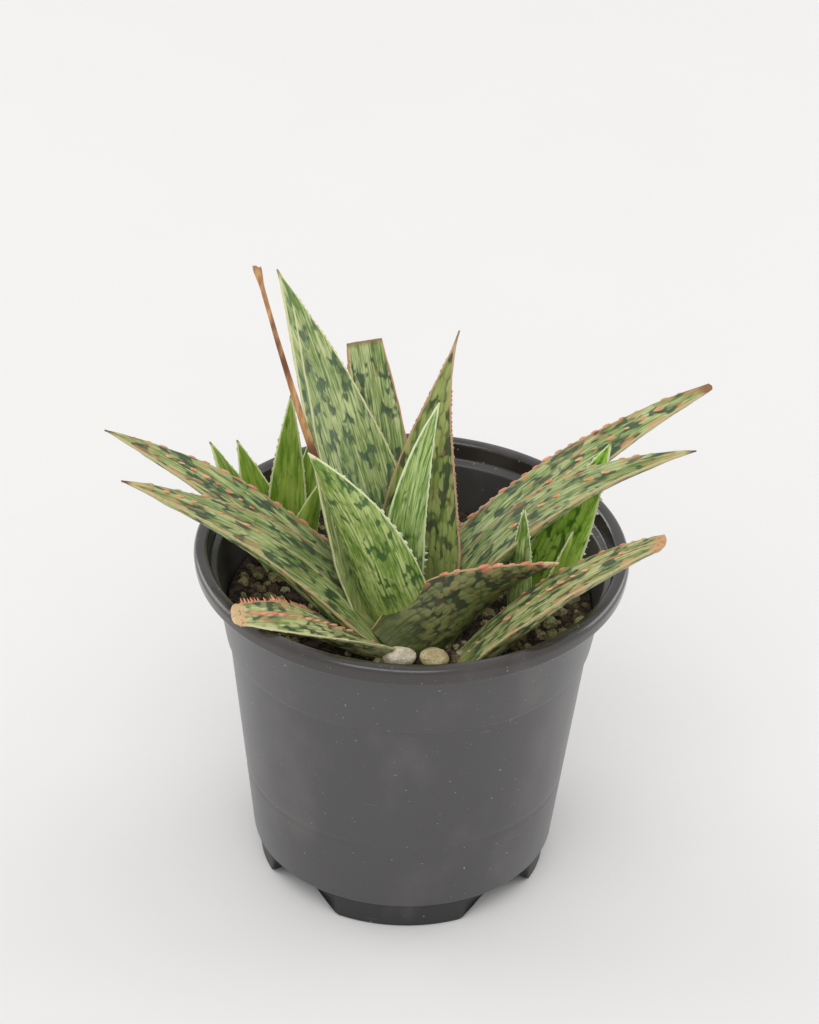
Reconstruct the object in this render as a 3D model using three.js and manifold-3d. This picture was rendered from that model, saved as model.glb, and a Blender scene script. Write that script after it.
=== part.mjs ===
// Potted pink blush aloe: a small rosette with two offsets in a four inch nursery pot.
// Millimetres, +Z up. The plant is laid out round the pot's axis, and the finished group is
// shifted so that its origin is under the middle of the whole object, on the surface it stands on.
import * as THREE from "three";
import { mergeVertices } from "three/addons/utils/BufferGeometryUtils.js";
import Module from "manifold-3d";

// Pot: radii and heights of the thin plastic shell
const POT_HEIGHT = 86;
const LIP_RADIUS = 51;
const LIP_HEIGHT = 4.4;
const LIP_INNER_RADIUS = 47.6;
const BAND_TOP_RADIUS = 46.6;
const BAND_BOTTOM_RADIUS = 43.3;
const BAND_BOTTOM_Z = 63;
const BODY_TOP_RADIUS = 42.6;
const BODY_BOTTOM_RADIUS = 36.2;
const FOOT_TOP_Z = 7.3;
const FOOT_TOP_RADIUS = 35.2;
const FOOT_BOTTOM_RADIUS = 34.4;
const POT_WALL = 1.2;
const FLOOR_Z = 6.6;
const FLOOR_THICKNESS = 1.4;
const DRAIN_HOLES = 4;
const DRAIN_HOLE_RADIUS = 4.5;
const DRAIN_HOLE_CIRCLE = 25;
const FOOT_NOTCH_HEIGHT = 6.1;
const FOOT_NOTCH_BOTTOM_HALF_ANGLE = 20;
const FOOT_NOTCH_TOP_HALF_ANGLE = 9;
const POT_SEGMENTS = 56;

// Soil: fills the pot, with an uneven, granular top
const CLEARANCE = 0.32;
const SOIL_TOP_Z = 70;
const SOIL_RELIEF = 1.3;
const SOIL_RINGS = 11;
const SOIL_SEGMENTS = 44;
const SOIL_SEED = 7;

// Stems, each with a bundle of roots in a plain hole in the soil
const MAIN_STEM = { at: [-1, -12], bottom: 58, top: 81, radius: 8.2, topRadius: 4, roots: 7, rootLength: 30 };
const PUP_STEM = { bottom: 62, top: 75.5, radius: 4.2, topRadius: 2.4, roots: 5, rootLength: 18 };
const LEFT_STEM = { ...PUP_STEM, at: [-30, 12] };
const RIGHT_STEM = { ...PUP_STEM, at: [27.5, -6] };

// Leaf rows. at and tip are the ends of the midline, facing is the compass side that the back
// of the leaf looks to, in degrees from +X. bow lifts the middle of the midline off its chord
// and sway pushes it sideways. turn tilts the blade and roll adds to it from root to tip. full is
// the share of the length that tapers, cut the share missing at a broken end, and tooth the
// height of the teeth.
const LEAVES = {
  leaf_front_right: {
    at: [-3, -20, 69.5], tip: [33, -22, 97], facing: -80,
    bow: 5, width: 19, thick: 5, full: 0.9, cut: 0.05, tooth: 0.7,
  },
  leaf_front_left: {
    at: [-4, -20, 68.3], tip: [-39.5, -39, 92], facing: -145,
    bow: 3, turn: 30, roll: -70, width: 14, thick: 4.2, full: 0.8, cut: 0.2, tooth: 0.7,
  },
  leaf_low_right: {
    at: [9, -25, 66], tip: [56, -33, 111.3], facing: -10,
    bow: 3.8, width: 14.5, thick: 5, full: 0.6, cut: 0.1, tooth: 0.8,
  },
  leaf_front_centre: {
    at: [-2, -16, 74.5], tip: [-24, -20, 123], facing: -105,
    bow: 2, sway: 2, width: 17, thick: 4.5, full: 0.8, tooth: 0.6,
  },
  leaf_left_lower: {
    at: [-6, -14.5, 70.5], tip: [-66.5, -14, 110], facing: 175,
    bow: 6, width: 21, thick: 6, full: 1, tooth: 0.6,
  },
  right_pup_leaf_1: {
    at: [25, -8, 72], tip: [25, -23, 112.5], facing: -100,
    bow: 1.5, width: 5.5, thick: 2.5, full: 0.9, tooth: 0.4,
  },
  right_pup_leaf_2: {
    at: [28.5, -4, 73], tip: [45, 2, 115], facing: 60,
    width: 14, thick: 3, full: 0.9, tooth: 0.6,
  },
  leaf_right_lower: {
    at: [5, -11.5, 71], tip: [64, -6, 118.5], facing: 1,
    bow: 9.8, width: 16, thick: 5.5, full: 0.7, tooth: 0.7,
  },
  leaf_centre_right: {
    at: [-2, -11, 78], tip: [5, -8, 130], facing: 100,
    bow: 1, sway: 2.8, width: 10.2, thick: 3.5, full: 0.85, tooth: 0.6,
  },
  leaf_tall: {
    at: [-6, -8, 74], tip: [-33, 17, 149], facing: 140,
    bow: 2, sway: -0.8, width: 29, thick: 6, full: 0.95, taper: 1, tooth: 0.6,
  },
  leaf_back_right: {
    at: [2, -6, 75], tip: [9, 4, 142], facing: 80,
    sway: 2.7, width: 21.2, thick: 4.5, full: 1, taper: 1.45, tooth: 0.6,
  },
  leaf_left_upper: {
    at: [-8, -13, 70.5], tip: [-71.8, 4, 112.3], facing: 165,
    bow: 6.6, width: 19.8, thick: 4.8, full: 1, tooth: 0.7,
  },
  leaf_right_upper: {
    at: [5, -5, 75.5], tip: [68, 16, 122.5], facing: 25,
    bow: 5.7, width: 17.3, thick: 4.5, full: 1, cut: 0.06, tooth: 0.8,
  },
  leaf_rear_cut: {
    at: [-1, -5, 73], tip: [-13, 27, 125], facing: 115,
    width: 14, thick: 4.5, full: 0.8, cut: 0.32, tooth: 0.7,
  },
  left_pup_leaf_1: {
    at: [-30, 13, 73], tip: [-29.5, 18, 115], facing: 90,
    width: 10, thick: 3, full: 0.9, tooth: 0.5,
  },
  left_pup_leaf_2: {
    at: [-27, 13, 73], tip: [-23.5, 22, 105], facing: 60,
    width: 9, thick: 3, full: 0.9, tooth: 0.5,
  },
  left_pup_leaf_3: {
    at: [-32, 13, 73], tip: [-42, 18, 102], facing: 150,
    width: 9.5, thick: 3, full: 0.9, tooth: 0.5,
  },
  left_pup_leaf_4: {
    at: [-33, 11, 73], tip: [-48, 12, 105], facing: 180,
    width: 9.5, thick: 3, full: 0.9, tooth: 0.5,
  },
  left_pup_leaf_5: {
    at: [-28, 10, 73], tip: [-22, 11, 96], facing: -60,
    width: 6, thick: 2.5, full: 0.9, tooth: 0.4,
  },
  right_pup_leaf_3: {
    at: [30, -7, 73], tip: [37, -8, 97], facing: -20,
    width: 5, thick: 2.5, full: 0.9, tooth: 0.4,
  },
};
const STATION_STEP = 2.8;
const UPPER_POINTS = [1, 0.5, 0, -0.5, -1];
const LOWER_POINTS = [-0.6, 0, 0.6];
const CHANNEL = 0.18;
const EDGE_HALF_THICKNESS = 0.3;
const LEAF_GAP = 0.34;

// Dry flower stalk with a flared, broken top
const STALK = {
  at: [-8, -10, 73],
  tip: [-37, 2, 158],
  bend: [-1, -2.5, 0],
  radius: 0.95,
  flare: 1.45,
  sides: 8,
  steps: 18,
};

// Two pumice pebbles on the soil in front of the crown
const PEBBLES = {
  pebble_white: { at: [-2.2, -25.6], size: [7.6, 5.4, 4.8], turn: 8, seed: 3 },
  pebble_cream: { at: [6, -25.4], size: [7, 5.6, 4.6], turn: -12, seed: 5 },
};

// Colours, roughness and metalness
const FINISHES = {
  pot: { color: 0x565456, roughness: 0.45, metalness: 0 },
  soil: { color: 0x2b231d, roughness: 0.95, metalness: 0 },
  stem: { color: 0x8a8a4e, roughness: 0.7, metalness: 0 },
  leaf: { color: 0x6f8f4c, roughness: 0.5, metalness: 0 },
  youngLeaf: { color: 0x6f9f2e, roughness: 0.45, metalness: 0 },
  stalk: { color: 0xb08a58, roughness: 0.75, metalness: 0 },
  pebble: { color: 0xcfc6ad, roughness: 0.9, metalness: 0 },
};

const wasm = await Module();
wasm.setup();

function radians(degrees) {
  return (degrees * Math.PI) / 180;
}

// A seeded sequence of numbers from 0 to 1
function seeded(seed) {
  let state = seed * 7919 + 17;
  return () => {
    state = (state * 16807) % 2147483647;
    return state / 2147483647;
  };
}

function smoothStep(from, to, value) {
  return THREE.MathUtils.smoothstep(value, from, to);
}

// A closed solid from any closed geometry, with its shared corners merged
function solidOf(geometry) {
  const bare = geometry.clone();
  for (const name of Object.keys(bare.attributes)) {
    if (name !== "position") bare.deleteAttribute(name);
  }
  const merged = mergeVertices(bare, 1e-4);
  return new wasm.Manifold(
    new wasm.Mesh({
      numProp: 3,
      vertProperties: new Float32Array(merged.attributes.position.array),
      triVerts: new Uint32Array(merged.index.array),
    }),
  );
}

function geometryOf(solid) {
  const mesh = solid.getMesh();
  const geometry = new THREE.BufferGeometry();
  geometry.setAttribute("position", new THREE.BufferAttribute(new Float32Array(mesh.vertProperties), 3));
  geometry.setIndex(new THREE.BufferAttribute(new Uint32Array(mesh.triVerts), 1));
  return geometry;
}

// The largest of the bodies that a cut leaves
function largestBody(solid) {
  const bodies = solid.decompose();
  return bodies.reduce((best, body) => (body.volume() > best.volume() ? body : best));
}

// A closed skin over rings of points, each ring in the same order, with both ends capped
function loft(rings) {
  const sides = rings[0].length;
  const points = rings.flat();
  const faces = [];
  for (let ring = 0; ring < rings.length - 1; ring++) {
    for (let side = 0; side < sides; side++) {
      const next = (side + 1) % sides;
      const a = ring * sides + side;
      const b = ring * sides + next;
      faces.push(a, b, b + sides, a, b + sides, a + sides);
    }
  }
  for (const end of [0, rings.length - 1]) {
    const middle = new THREE.Vector3();
    rings[end].forEach((point) => middle.addScaledVector(point, 1 / sides));
    const centre = points.push(middle) - 1;
    for (let side = 0; side < sides; side++) {
      const a = end * sides + side;
      const b = end * sides + ((side + 1) % sides);
      faces.push(...(end === 0 ? [b, a, centre] : [a, b, centre]));
    }
  }
  const geometry = new THREE.BufferGeometry().setFromPoints(points);
  geometry.setIndex(faces);
  return geometry;
}

// The solid that a profile of [radius, height] pairs makes when it turns round the pot's axis
function turned(profile, segments) {
  const outline = profile.map(([radius, height]) => new THREE.Vector2(radius, height));
  return solidOf(new THREE.LatheGeometry(outline, segments).rotateX(Math.PI / 2));
}

// Half of the leaf's width at a share t of its length
function halfWidth(row, t) {
  const left = 1 - t * (1 - (row.cut ?? 0));
  const taper = Math.sin((Math.PI / 2) * Math.min(1, left / row.full)) ** (row.taper ?? 0.9);
  return Math.max(0.35, (row.width / 2) * taper * (0.8 + 0.2 * smoothStep(0, 0.2, t)));
}

function thickness(row, t) {
  const left = 1 - t * (1 - (row.cut ?? 0));
  const root = 0.5 + 0.5 * smoothStep(0, 0.3, t);
  return Math.max(0.6, row.thick * root * (0.15 + 0.85 * left) * Math.min(1, 0.15 + 6 * left));
}

// A leaf is a lens section swept along a bent midline: a channelled upper face, a rounded back
// and a toothed edge. grow makes a slightly larger copy, which keeps the neighbours clear.
function leafGeometry(row, grow = 0) {
  const root = new THREE.Vector3(...row.at);
  const tip = new THREE.Vector3(...row.tip);
  const facing = radians(row.facing);
  const level = new THREE.Vector3(-Math.sin(facing), Math.cos(facing), 0);
  const chord = tip.clone().sub(root).normalize();
  const across = level.clone().addScaledVector(chord, -level.dot(chord)).normalize();
  const above = chord.clone().cross(across);
  const bend = root.clone().add(tip).multiplyScalar(0.5);
  bend.addScaledVector(above, 2 * (row.bow ?? 0)).addScaledVector(across, 2 * (row.sway ?? 0));
  const midline = new THREE.QuadraticBezierCurve3(root, bend, tip);

  const stations = Math.round(midline.getLength() / STATION_STEP);
  const rings = [];
  for (let station = 0; station <= stations; station++) {
    const t = station / stations;
    const centre = midline.getPoint(t);
    const along = midline.getTangent(t);
    const sideways = level.clone().addScaledVector(along, -level.dot(along)).normalize();
    const turn = radians((row.turn ?? 0) + (row.roll ?? 0) * t);
    sideways.applyAxisAngle(along, turn);
    const upward = along.clone().cross(sideways);
    const half = halfWidth(row, t) + grow;
    const depth = thickness(row, t) + grow;
    const toothed = station % 2 === 1 && t > 0.12 && t < 0.93;
    const tooth = grow > 0 || toothed ? row.tooth * Math.min(1, half / 2) : 0;
    const channel = CHANNEL * (1 - 0.5 * t) * half;
    if (grow > 0 && station === stations) centre.addScaledVector(along, grow);
    const pointAt = (v, lower) => {
      const reach = v * half + (Math.abs(v) === 1 ? Math.sign(v) * tooth : 0);
      const rise = channel * v * v;
      const sag = depth * (1 - Math.abs(v) ** 2.2) ** 0.75;
      const face = lower ? -Math.max(sag, grow) : grow + (Math.abs(v) === 1 ? 0 : EDGE_HALF_THICKNESS);
      return centre.clone().addScaledVector(sideways, reach).addScaledVector(upward, rise + face);
    };
    const under = grow > 0 ? [-1, ...LOWER_POINTS, 1] : LOWER_POINTS;
    rings.push([...UPPER_POINTS.map((v) => pointAt(v, false)), ...under.map((v) => pointAt(v, true))]);
  }
  return loft(rings);
}

// Pot: a turned shell with a rolled lip, a band under it, feet and drain holes
function potGeometry() {
  const floorTop = FLOOR_Z + FLOOR_THICKNESS;
  const bodySlope = (BODY_TOP_RADIUS - BODY_BOTTOM_RADIUS) / (BAND_BOTTOM_Z - FOOT_TOP_Z);
  const floorRadius = BODY_BOTTOM_RADIUS - POT_WALL - 0.8;
  const shell = turned(
    [
      [0, FLOOR_Z],
      [FOOT_BOTTOM_RADIUS - POT_WALL - 0.6, FLOOR_Z],
      [FOOT_BOTTOM_RADIUS - POT_WALL - 0.6, 0],
      [FOOT_BOTTOM_RADIUS, 0],
      [FOOT_TOP_RADIUS, FOOT_TOP_Z - 0.4],
      [BODY_BOTTOM_RADIUS, FOOT_TOP_Z],
      [BODY_TOP_RADIUS, BAND_BOTTOM_Z - 0.5],
      [BAND_BOTTOM_RADIUS, BAND_BOTTOM_Z],
      [BAND_TOP_RADIUS, POT_HEIGHT - LIP_HEIGHT - 0.2],
      [LIP_RADIUS - 0.6, POT_HEIGHT - LIP_HEIGHT],
      [LIP_RADIUS - 0.3, POT_HEIGHT - LIP_HEIGHT + 0.4],
      [LIP_RADIUS, POT_HEIGHT - 1.4],
      [LIP_RADIUS - 0.5, POT_HEIGHT - 0.3],
      [LIP_RADIUS - 1.4, POT_HEIGHT],
      [LIP_INNER_RADIUS + 0.7, POT_HEIGHT],
      [LIP_INNER_RADIUS, POT_HEIGHT - 0.6],
      [LIP_INNER_RADIUS - 0.5, POT_HEIGHT - LIP_HEIGHT],
      [BAND_TOP_RADIUS - POT_WALL, POT_HEIGHT - LIP_HEIGHT - 0.8],
      [BAND_BOTTOM_RADIUS - POT_WALL, BAND_BOTTOM_Z],
      [BODY_TOP_RADIUS - POT_WALL, BAND_BOTTOM_Z - 0.6],
      [floorRadius + bodySlope * (floorTop + 1 - FOOT_TOP_Z), floorTop + 1],
      [floorRadius - 1, floorTop],
      [0, floorTop],
    ],
    POT_SEGMENTS,
  );
  let pot = shell;
  for (let hole = 0; hole < DRAIN_HOLES; hole++) {
    const angle = ((hole + 0.5) * 2 * Math.PI) / DRAIN_HOLES;
    const drain = new THREE.CylinderGeometry(DRAIN_HOLE_RADIUS, DRAIN_HOLE_RADIUS, 6, 20);
    drain.rotateX(Math.PI / 2);
    drain.translate(DRAIN_HOLE_CIRCLE * Math.cos(angle), DRAIN_HOLE_CIRCLE * Math.sin(angle), floorTop - 1);
    pot = pot.subtract(solidOf(drain)).subtract(solidOf(footNotch(angle)));
  }
  return geometryOf(pot);
}

// The wedge that parts two feet: wide at the ground and narrower above
function footNotch(angle) {
  const inner = FOOT_BOTTOM_RADIUS - 6;
  const outer = FOOT_TOP_RADIUS + 3;
  const ring = (radius) => {
    const bottom = radians(FOOT_NOTCH_BOTTOM_HALF_ANGLE);
    const top = radians(FOOT_NOTCH_TOP_HALF_ANGLE);
    const corners = [
      [-bottom, -1],
      [bottom, -1],
      [top, FOOT_NOTCH_HEIGHT],
      [-top, FOOT_NOTCH_HEIGHT],
    ];
    return corners.map(([turn, z]) => {
      const reach = radius / Math.cos(turn);
      return new THREE.Vector3(reach * Math.cos(angle + turn), reach * Math.sin(angle + turn), z);
    });
  };
  return loft([ring(inner), ring(outer)]);
}

// Soil: the pot's fill up to an uneven top, wide open where a stem or a low leaf sits
function soilSolid(sitters) {
  const random = seeded(SOIL_SEED);
  const floorTop = FLOOR_Z + FLOOR_THICKNESS + CLEARANCE;
  const wall = POT_WALL + CLEARANCE;
  const bandSlope = (BAND_TOP_RADIUS - BAND_BOTTOM_RADIUS) / (POT_HEIGHT - LIP_HEIGHT - BAND_BOTTOM_Z);
  const edge = BAND_BOTTOM_RADIUS + bandSlope * (SOIL_TOP_Z - BAND_BOTTOM_Z) - wall;
  const ringAt = (radius, height) => {
    const ring = [];
    for (let segment = 0; segment < SOIL_SEGMENTS; segment++) {
      const angle = (segment / SOIL_SEGMENTS) * 2 * Math.PI;
      ring.push(new THREE.Vector3(radius * Math.cos(angle), radius * Math.sin(angle), height(segment)));
    }
    return ring;
  };
  const rings = [
    ringAt(BODY_BOTTOM_RADIUS - wall - 2.2, () => floorTop),
    ringAt(BODY_BOTTOM_RADIUS - wall - 0.8, () => floorTop + 1.6),
    ringAt(BODY_TOP_RADIUS - wall, () => BAND_BOTTOM_Z - 0.9),
    ringAt(BAND_BOTTOM_RADIUS - wall, () => BAND_BOTTOM_Z),
    ringAt(edge, () => SOIL_TOP_Z - SOIL_RELIEF * random() * 0.5),
  ];
  for (let ring = SOIL_RINGS - 1; ring > 0; ring--) {
    rings.push(ringAt((edge * ring) / SOIL_RINGS, () => SOIL_TOP_Z + SOIL_RELIEF * (random() - 0.4)));
  }
  let soil = solidOf(loft(rings));
  for (const sitter of sitters) soil = soil.subtract(sitter);
  return largestBody(soil);
}

// Stem: a short ringed trunk with a bundle of tapering roots under it
function stemSolid(stem, grow = 0) {
  const [x, y] = stem.at;
  const height = stem.top - stem.bottom;
  const trunk = turned(
    [
      [0, stem.bottom - grow],
      [stem.radius * 0.8 + grow, stem.bottom - grow],
      [stem.radius + grow, stem.bottom + 0.2 * height],
      [stem.radius + grow, stem.bottom + 0.55 * height],
      [stem.topRadius + grow, stem.top - 0.6],
      [stem.topRadius * 0.6 + grow, stem.top + grow],
      [0, stem.top + grow],
    ],
    18,
  );
  let solid = trunk.translate([x, y, 0]);
  const spread = stem.radius * 0.48;
  for (let root = 0; root < stem.roots; root++) {
    const angle = (root / stem.roots) * 2 * Math.PI;
    const girth = stem.radius * 0.2;
    const strand = turned(
      [
        [0, -stem.rootLength],
        [0.5, -stem.rootLength],
        [girth, 2],
        [0, 2],
      ],
      6,
    );
    solid = solid.add(
      strand.translate([x + spread * Math.cos(angle), y + spread * Math.sin(angle), stem.bottom]),
    );
  }
  return solid;
}

// The plain hole in the soil round a stem and its roots
function stemHole(stem) {
  const [x, y] = stem.at;
  const around = stem.radius + CLEARANCE;
  const hole = turned(
    [
      [0, stem.bottom - stem.rootLength - CLEARANCE],
      [stem.radius * 0.48 + 0.5 + CLEARANCE, stem.bottom - stem.rootLength - CLEARANCE],
      [around * 0.86, stem.bottom - CLEARANCE],
      [around, stem.bottom + 0.2 * (stem.top - stem.bottom)],
      [around, stem.top + 4],
      [0, stem.top + 4],
    ],
    24,
  );
  return hole.translate([x, y, 0]);
}

// Stalk: a slim round tube that flares at its broken top
function stalkGeometry(grow = 0) {
  const root = new THREE.Vector3(...STALK.at);
  const tip = new THREE.Vector3(...STALK.tip);
  const bend = root.clone().add(tip).multiplyScalar(0.5).addScaledVector(new THREE.Vector3(...STALK.bend), 2);
  const path = new THREE.QuadraticBezierCurve3(root, bend, tip);
  const rings = [];
  for (let step = 0; step <= STALK.steps; step++) {
    const t = step / STALK.steps;
    const radius = THREE.MathUtils.lerp(STALK.radius, STALK.flare, smoothStep(0.93, 1, t)) + grow;
    const along = path.getTangent(t);
    const first = new THREE.Vector3(0, 1, 0).cross(along).normalize();
    const second = along.clone().cross(first);
    const ring = [];
    for (let side = 0; side < STALK.sides; side++) {
      const angle = (side / STALK.sides) * 2 * Math.PI;
      const point = path.getPoint(t).addScaledVector(first, radius * Math.cos(angle));
      ring.push(point.addScaledVector(second, radius * Math.sin(angle)));
    }
    rings.push(ring);
  }
  return loft(rings);
}

// Pebble: a rounded lump with a few dents
function pebbleSolid(row, grow = 0) {
  const random = seeded(row.seed);
  const waves = Array.from({ length: 4 }, () => [random() * 4 + 1.5, random() * 4 + 1.5, random() * 6]);
  const geometry = new THREE.IcosahedronGeometry(0.5, 2);
  const position = geometry.attributes.position;
  const point = new THREE.Vector3();
  for (let corner = 0; corner < position.count; corner++) {
    point.fromBufferAttribute(position, corner);
    const dent = waves
      .map(([a, b, c]) => Math.sin(a * point.x * 3 + b * point.y * 3 + c + point.z * 4))
      .reduce((sum, wave) => sum + wave, 0);
    point.multiplyScalar(1 + 0.035 * dent);
    const [length, width, height] = row.size.map((extent) => extent + 2.2 * grow);
    position.setXYZ(corner, point.x * length, point.y * width, point.z * height);
  }
  geometry.rotateZ(radians(row.turn));
  geometry.translate(row.at[0], row.at[1], SOIL_TOP_Z + row.size[2] * 0.42);
  return solidOf(geometry);
}

function finish(name) {
  return new THREE.MeshStandardMaterial(FINISHES[name]);
}

const part = new THREE.Group();

function place(name, geometry, finishName) {
  const mesh = new THREE.Mesh(geometry, finish(finishName));
  mesh.name = name;
  part.add(mesh);
}

// What is already in place keeps its neighbours off by a small gap
const stems = { main_stem: MAIN_STEM, left_pup_stem: LEFT_STEM, right_pup_stem: RIGHT_STEM };
const stemKeeps = Object.values(stems).map((stem) => stemSolid(stem, LEAF_GAP));
const stalkKeep = solidOf(stalkGeometry(LEAF_GAP));
const taken = [...stemKeeps, stalkKeep];

place("pot", potGeometry(), "pot");
for (const [name, stem] of Object.entries(stems)) place(name, geometryOf(stemSolid(stem)), "stem");
place("flower_stalk", geometryOf(largestBody(solidOf(stalkGeometry()).subtract(stemKeeps[0]))), "stalk");

const leafKeeps = [];
for (const [name, row] of Object.entries(LEAVES)) {
  let leaf = solidOf(leafGeometry(row));
  for (const neighbour of taken) leaf = leaf.subtract(neighbour);
  place(name, geometryOf(largestBody(leaf)), name.includes("pup") ? "youngLeaf" : "leaf");
  const keep = solidOf(leafGeometry(row, LEAF_GAP));
  taken.push(keep);
  leafKeeps.push(keep);
}

const holes = Object.values(stems).map(stemHole);
const pebbleKeeps = Object.values(PEBBLES).map((row) => pebbleSolid(row, LEAF_GAP));
const soil = soilSolid([...holes, ...leafKeeps, ...pebbleKeeps, stalkKeep]);
for (const [name, row] of Object.entries(PEBBLES)) {
  let pebble = pebbleSolid(row);
  for (const neighbour of taken) pebble = pebble.subtract(neighbour);
  place(name, geometryOf(largestBody(pebble)), "pebble");
}
place("soil", geometryOf(soil), "soil");

// The origin goes under the middle of the whole object
const middle = new THREE.Box3().setFromObject(part).getCenter(new THREE.Vector3());
part.position.set(-middle.x, -middle.y, 0);

export default part;
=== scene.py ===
"""A potted pink blush aloe: the finished looks of every piece, built round its solids."""

import logging
import math
from dataclasses import dataclass, field, replace
from enum import Enum
from functools import cache

import bmesh
import bpy
import numpy as np
from mathutils import Matrix, Vector


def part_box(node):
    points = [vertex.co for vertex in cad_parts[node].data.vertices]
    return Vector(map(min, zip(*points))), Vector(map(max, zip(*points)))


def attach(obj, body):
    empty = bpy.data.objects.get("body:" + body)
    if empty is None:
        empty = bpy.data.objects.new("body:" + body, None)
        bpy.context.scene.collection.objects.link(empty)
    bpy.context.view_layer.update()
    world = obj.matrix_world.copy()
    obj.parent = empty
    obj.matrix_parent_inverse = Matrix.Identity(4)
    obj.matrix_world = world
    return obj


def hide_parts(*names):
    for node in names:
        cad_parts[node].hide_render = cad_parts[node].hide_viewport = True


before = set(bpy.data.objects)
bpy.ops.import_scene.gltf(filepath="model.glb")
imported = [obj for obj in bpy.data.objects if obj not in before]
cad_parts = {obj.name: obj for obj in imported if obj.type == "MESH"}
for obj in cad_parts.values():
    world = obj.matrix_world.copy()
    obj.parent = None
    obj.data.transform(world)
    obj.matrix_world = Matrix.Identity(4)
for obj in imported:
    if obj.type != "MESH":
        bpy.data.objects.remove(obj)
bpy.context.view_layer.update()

LOG = logging.getLogger("aloe")
MM = 0.001
Colour = tuple[float, float, float, float]
Point = tuple[float, float, float]
Material = bpy.types.Material

# How far a ripple's phase turns in one unit of place, for a reach of 1.
WAVE_TURN = 3.6
# Teeth: the share left out, the thickness to the length, and the smallest and largest size.
MISSING_TEETH = 0.14
TOOTH_THICKNESS = 0.36
TOOTH_SIZES = (0.5, 1.2)
# Soil: how many grain forms there are, and how many grains are tried on a square metre.
GRAIN_KINDS = 4
GRAINS_PER_SQUARE_METRE = 420000.0


def srgb(red: int, green: int, blue: int) -> Colour:
    """Turns a screen colour into the linear colour that a shader takes.

    Args:
        red: Red from 0 to 255.
        green: Green from 0 to 255.
        blue: Blue from 0 to 255.

    Returns:
        The linear colour with full alpha.
    """
    shares = (channel / 255 for channel in (red, green, blue))
    linear = (s / 12.92 if s <= 0.04045 else ((s + 0.055) / 1.055) ** 2.4 for s in shares)
    return (*linear, 1.0)


def smooth(low: float, high: float, value: np.ndarray) -> np.ndarray:
    """Rises smoothly from 0 at low to 1 at high.

    Args:
        low: The value at which the rise starts.
        high: The value at which it ends.
        value: The numbers to place on the rise.

    Returns:
        A share from 0 to 1 for each number.
    """
    share = np.clip((value - low) / (high - low), 0.0, 1.0)
    return share * share * (3.0 - 2.0 * share)


def ripple(seed: int, waves: int, reach: float, *places: np.ndarray) -> np.ndarray:
    """Adds up a few waves of seeded direction and phase.

    Args:
        seed: The seed of the draw.
        waves: How many waves are added.
        reach: The rough count of crests in one unit of place.
        places: One array for each direction.

    Returns:
        A number round zero, mostly within -1 and 1, for each place.
    """
    rng = np.random.default_rng(seed)
    total = np.zeros(np.broadcast(*places).shape)
    for _ in range(waves):
        phase = rng.uniform(0, 2 * math.pi)
        turn = sum(rng.normal() * reach * WAVE_TURN * place for place in places)
        total = total + np.sin(turn + phase)
    return total / math.sqrt(waves * 2)


def unit(vectors: np.ndarray) -> np.ndarray:
    """Scales each row vector to length one."""
    return vectors / np.linalg.norm(vectors, axis=-1, keepdims=True)


class Flow:
    """One output of a node. Sums, differences and products of it add further nodes."""

    def __init__(self, nodes: "Nodes", socket: bpy.types.NodeSocket) -> None:
        """Keeps the output and the calls that add to its tree."""
        self.nodes, self.socket = nodes, socket

    def __add__(self, other: object) -> "Flow":
        """Adds a number or another output."""
        return self.nodes.math("ADD", self, other)

    def __sub__(self, other: object) -> "Flow":
        """Takes a number or another output away."""
        return self.nodes.math("SUBTRACT", self, other)

    def __rsub__(self, other: object) -> "Flow":
        """Takes this output away from a number."""
        return self.nodes.math("SUBTRACT", other, self)

    def __mul__(self, other: object) -> "Flow":
        """Multiplies by a number or another output."""
        return self.nodes.math("MULTIPLY", self, other)


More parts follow.
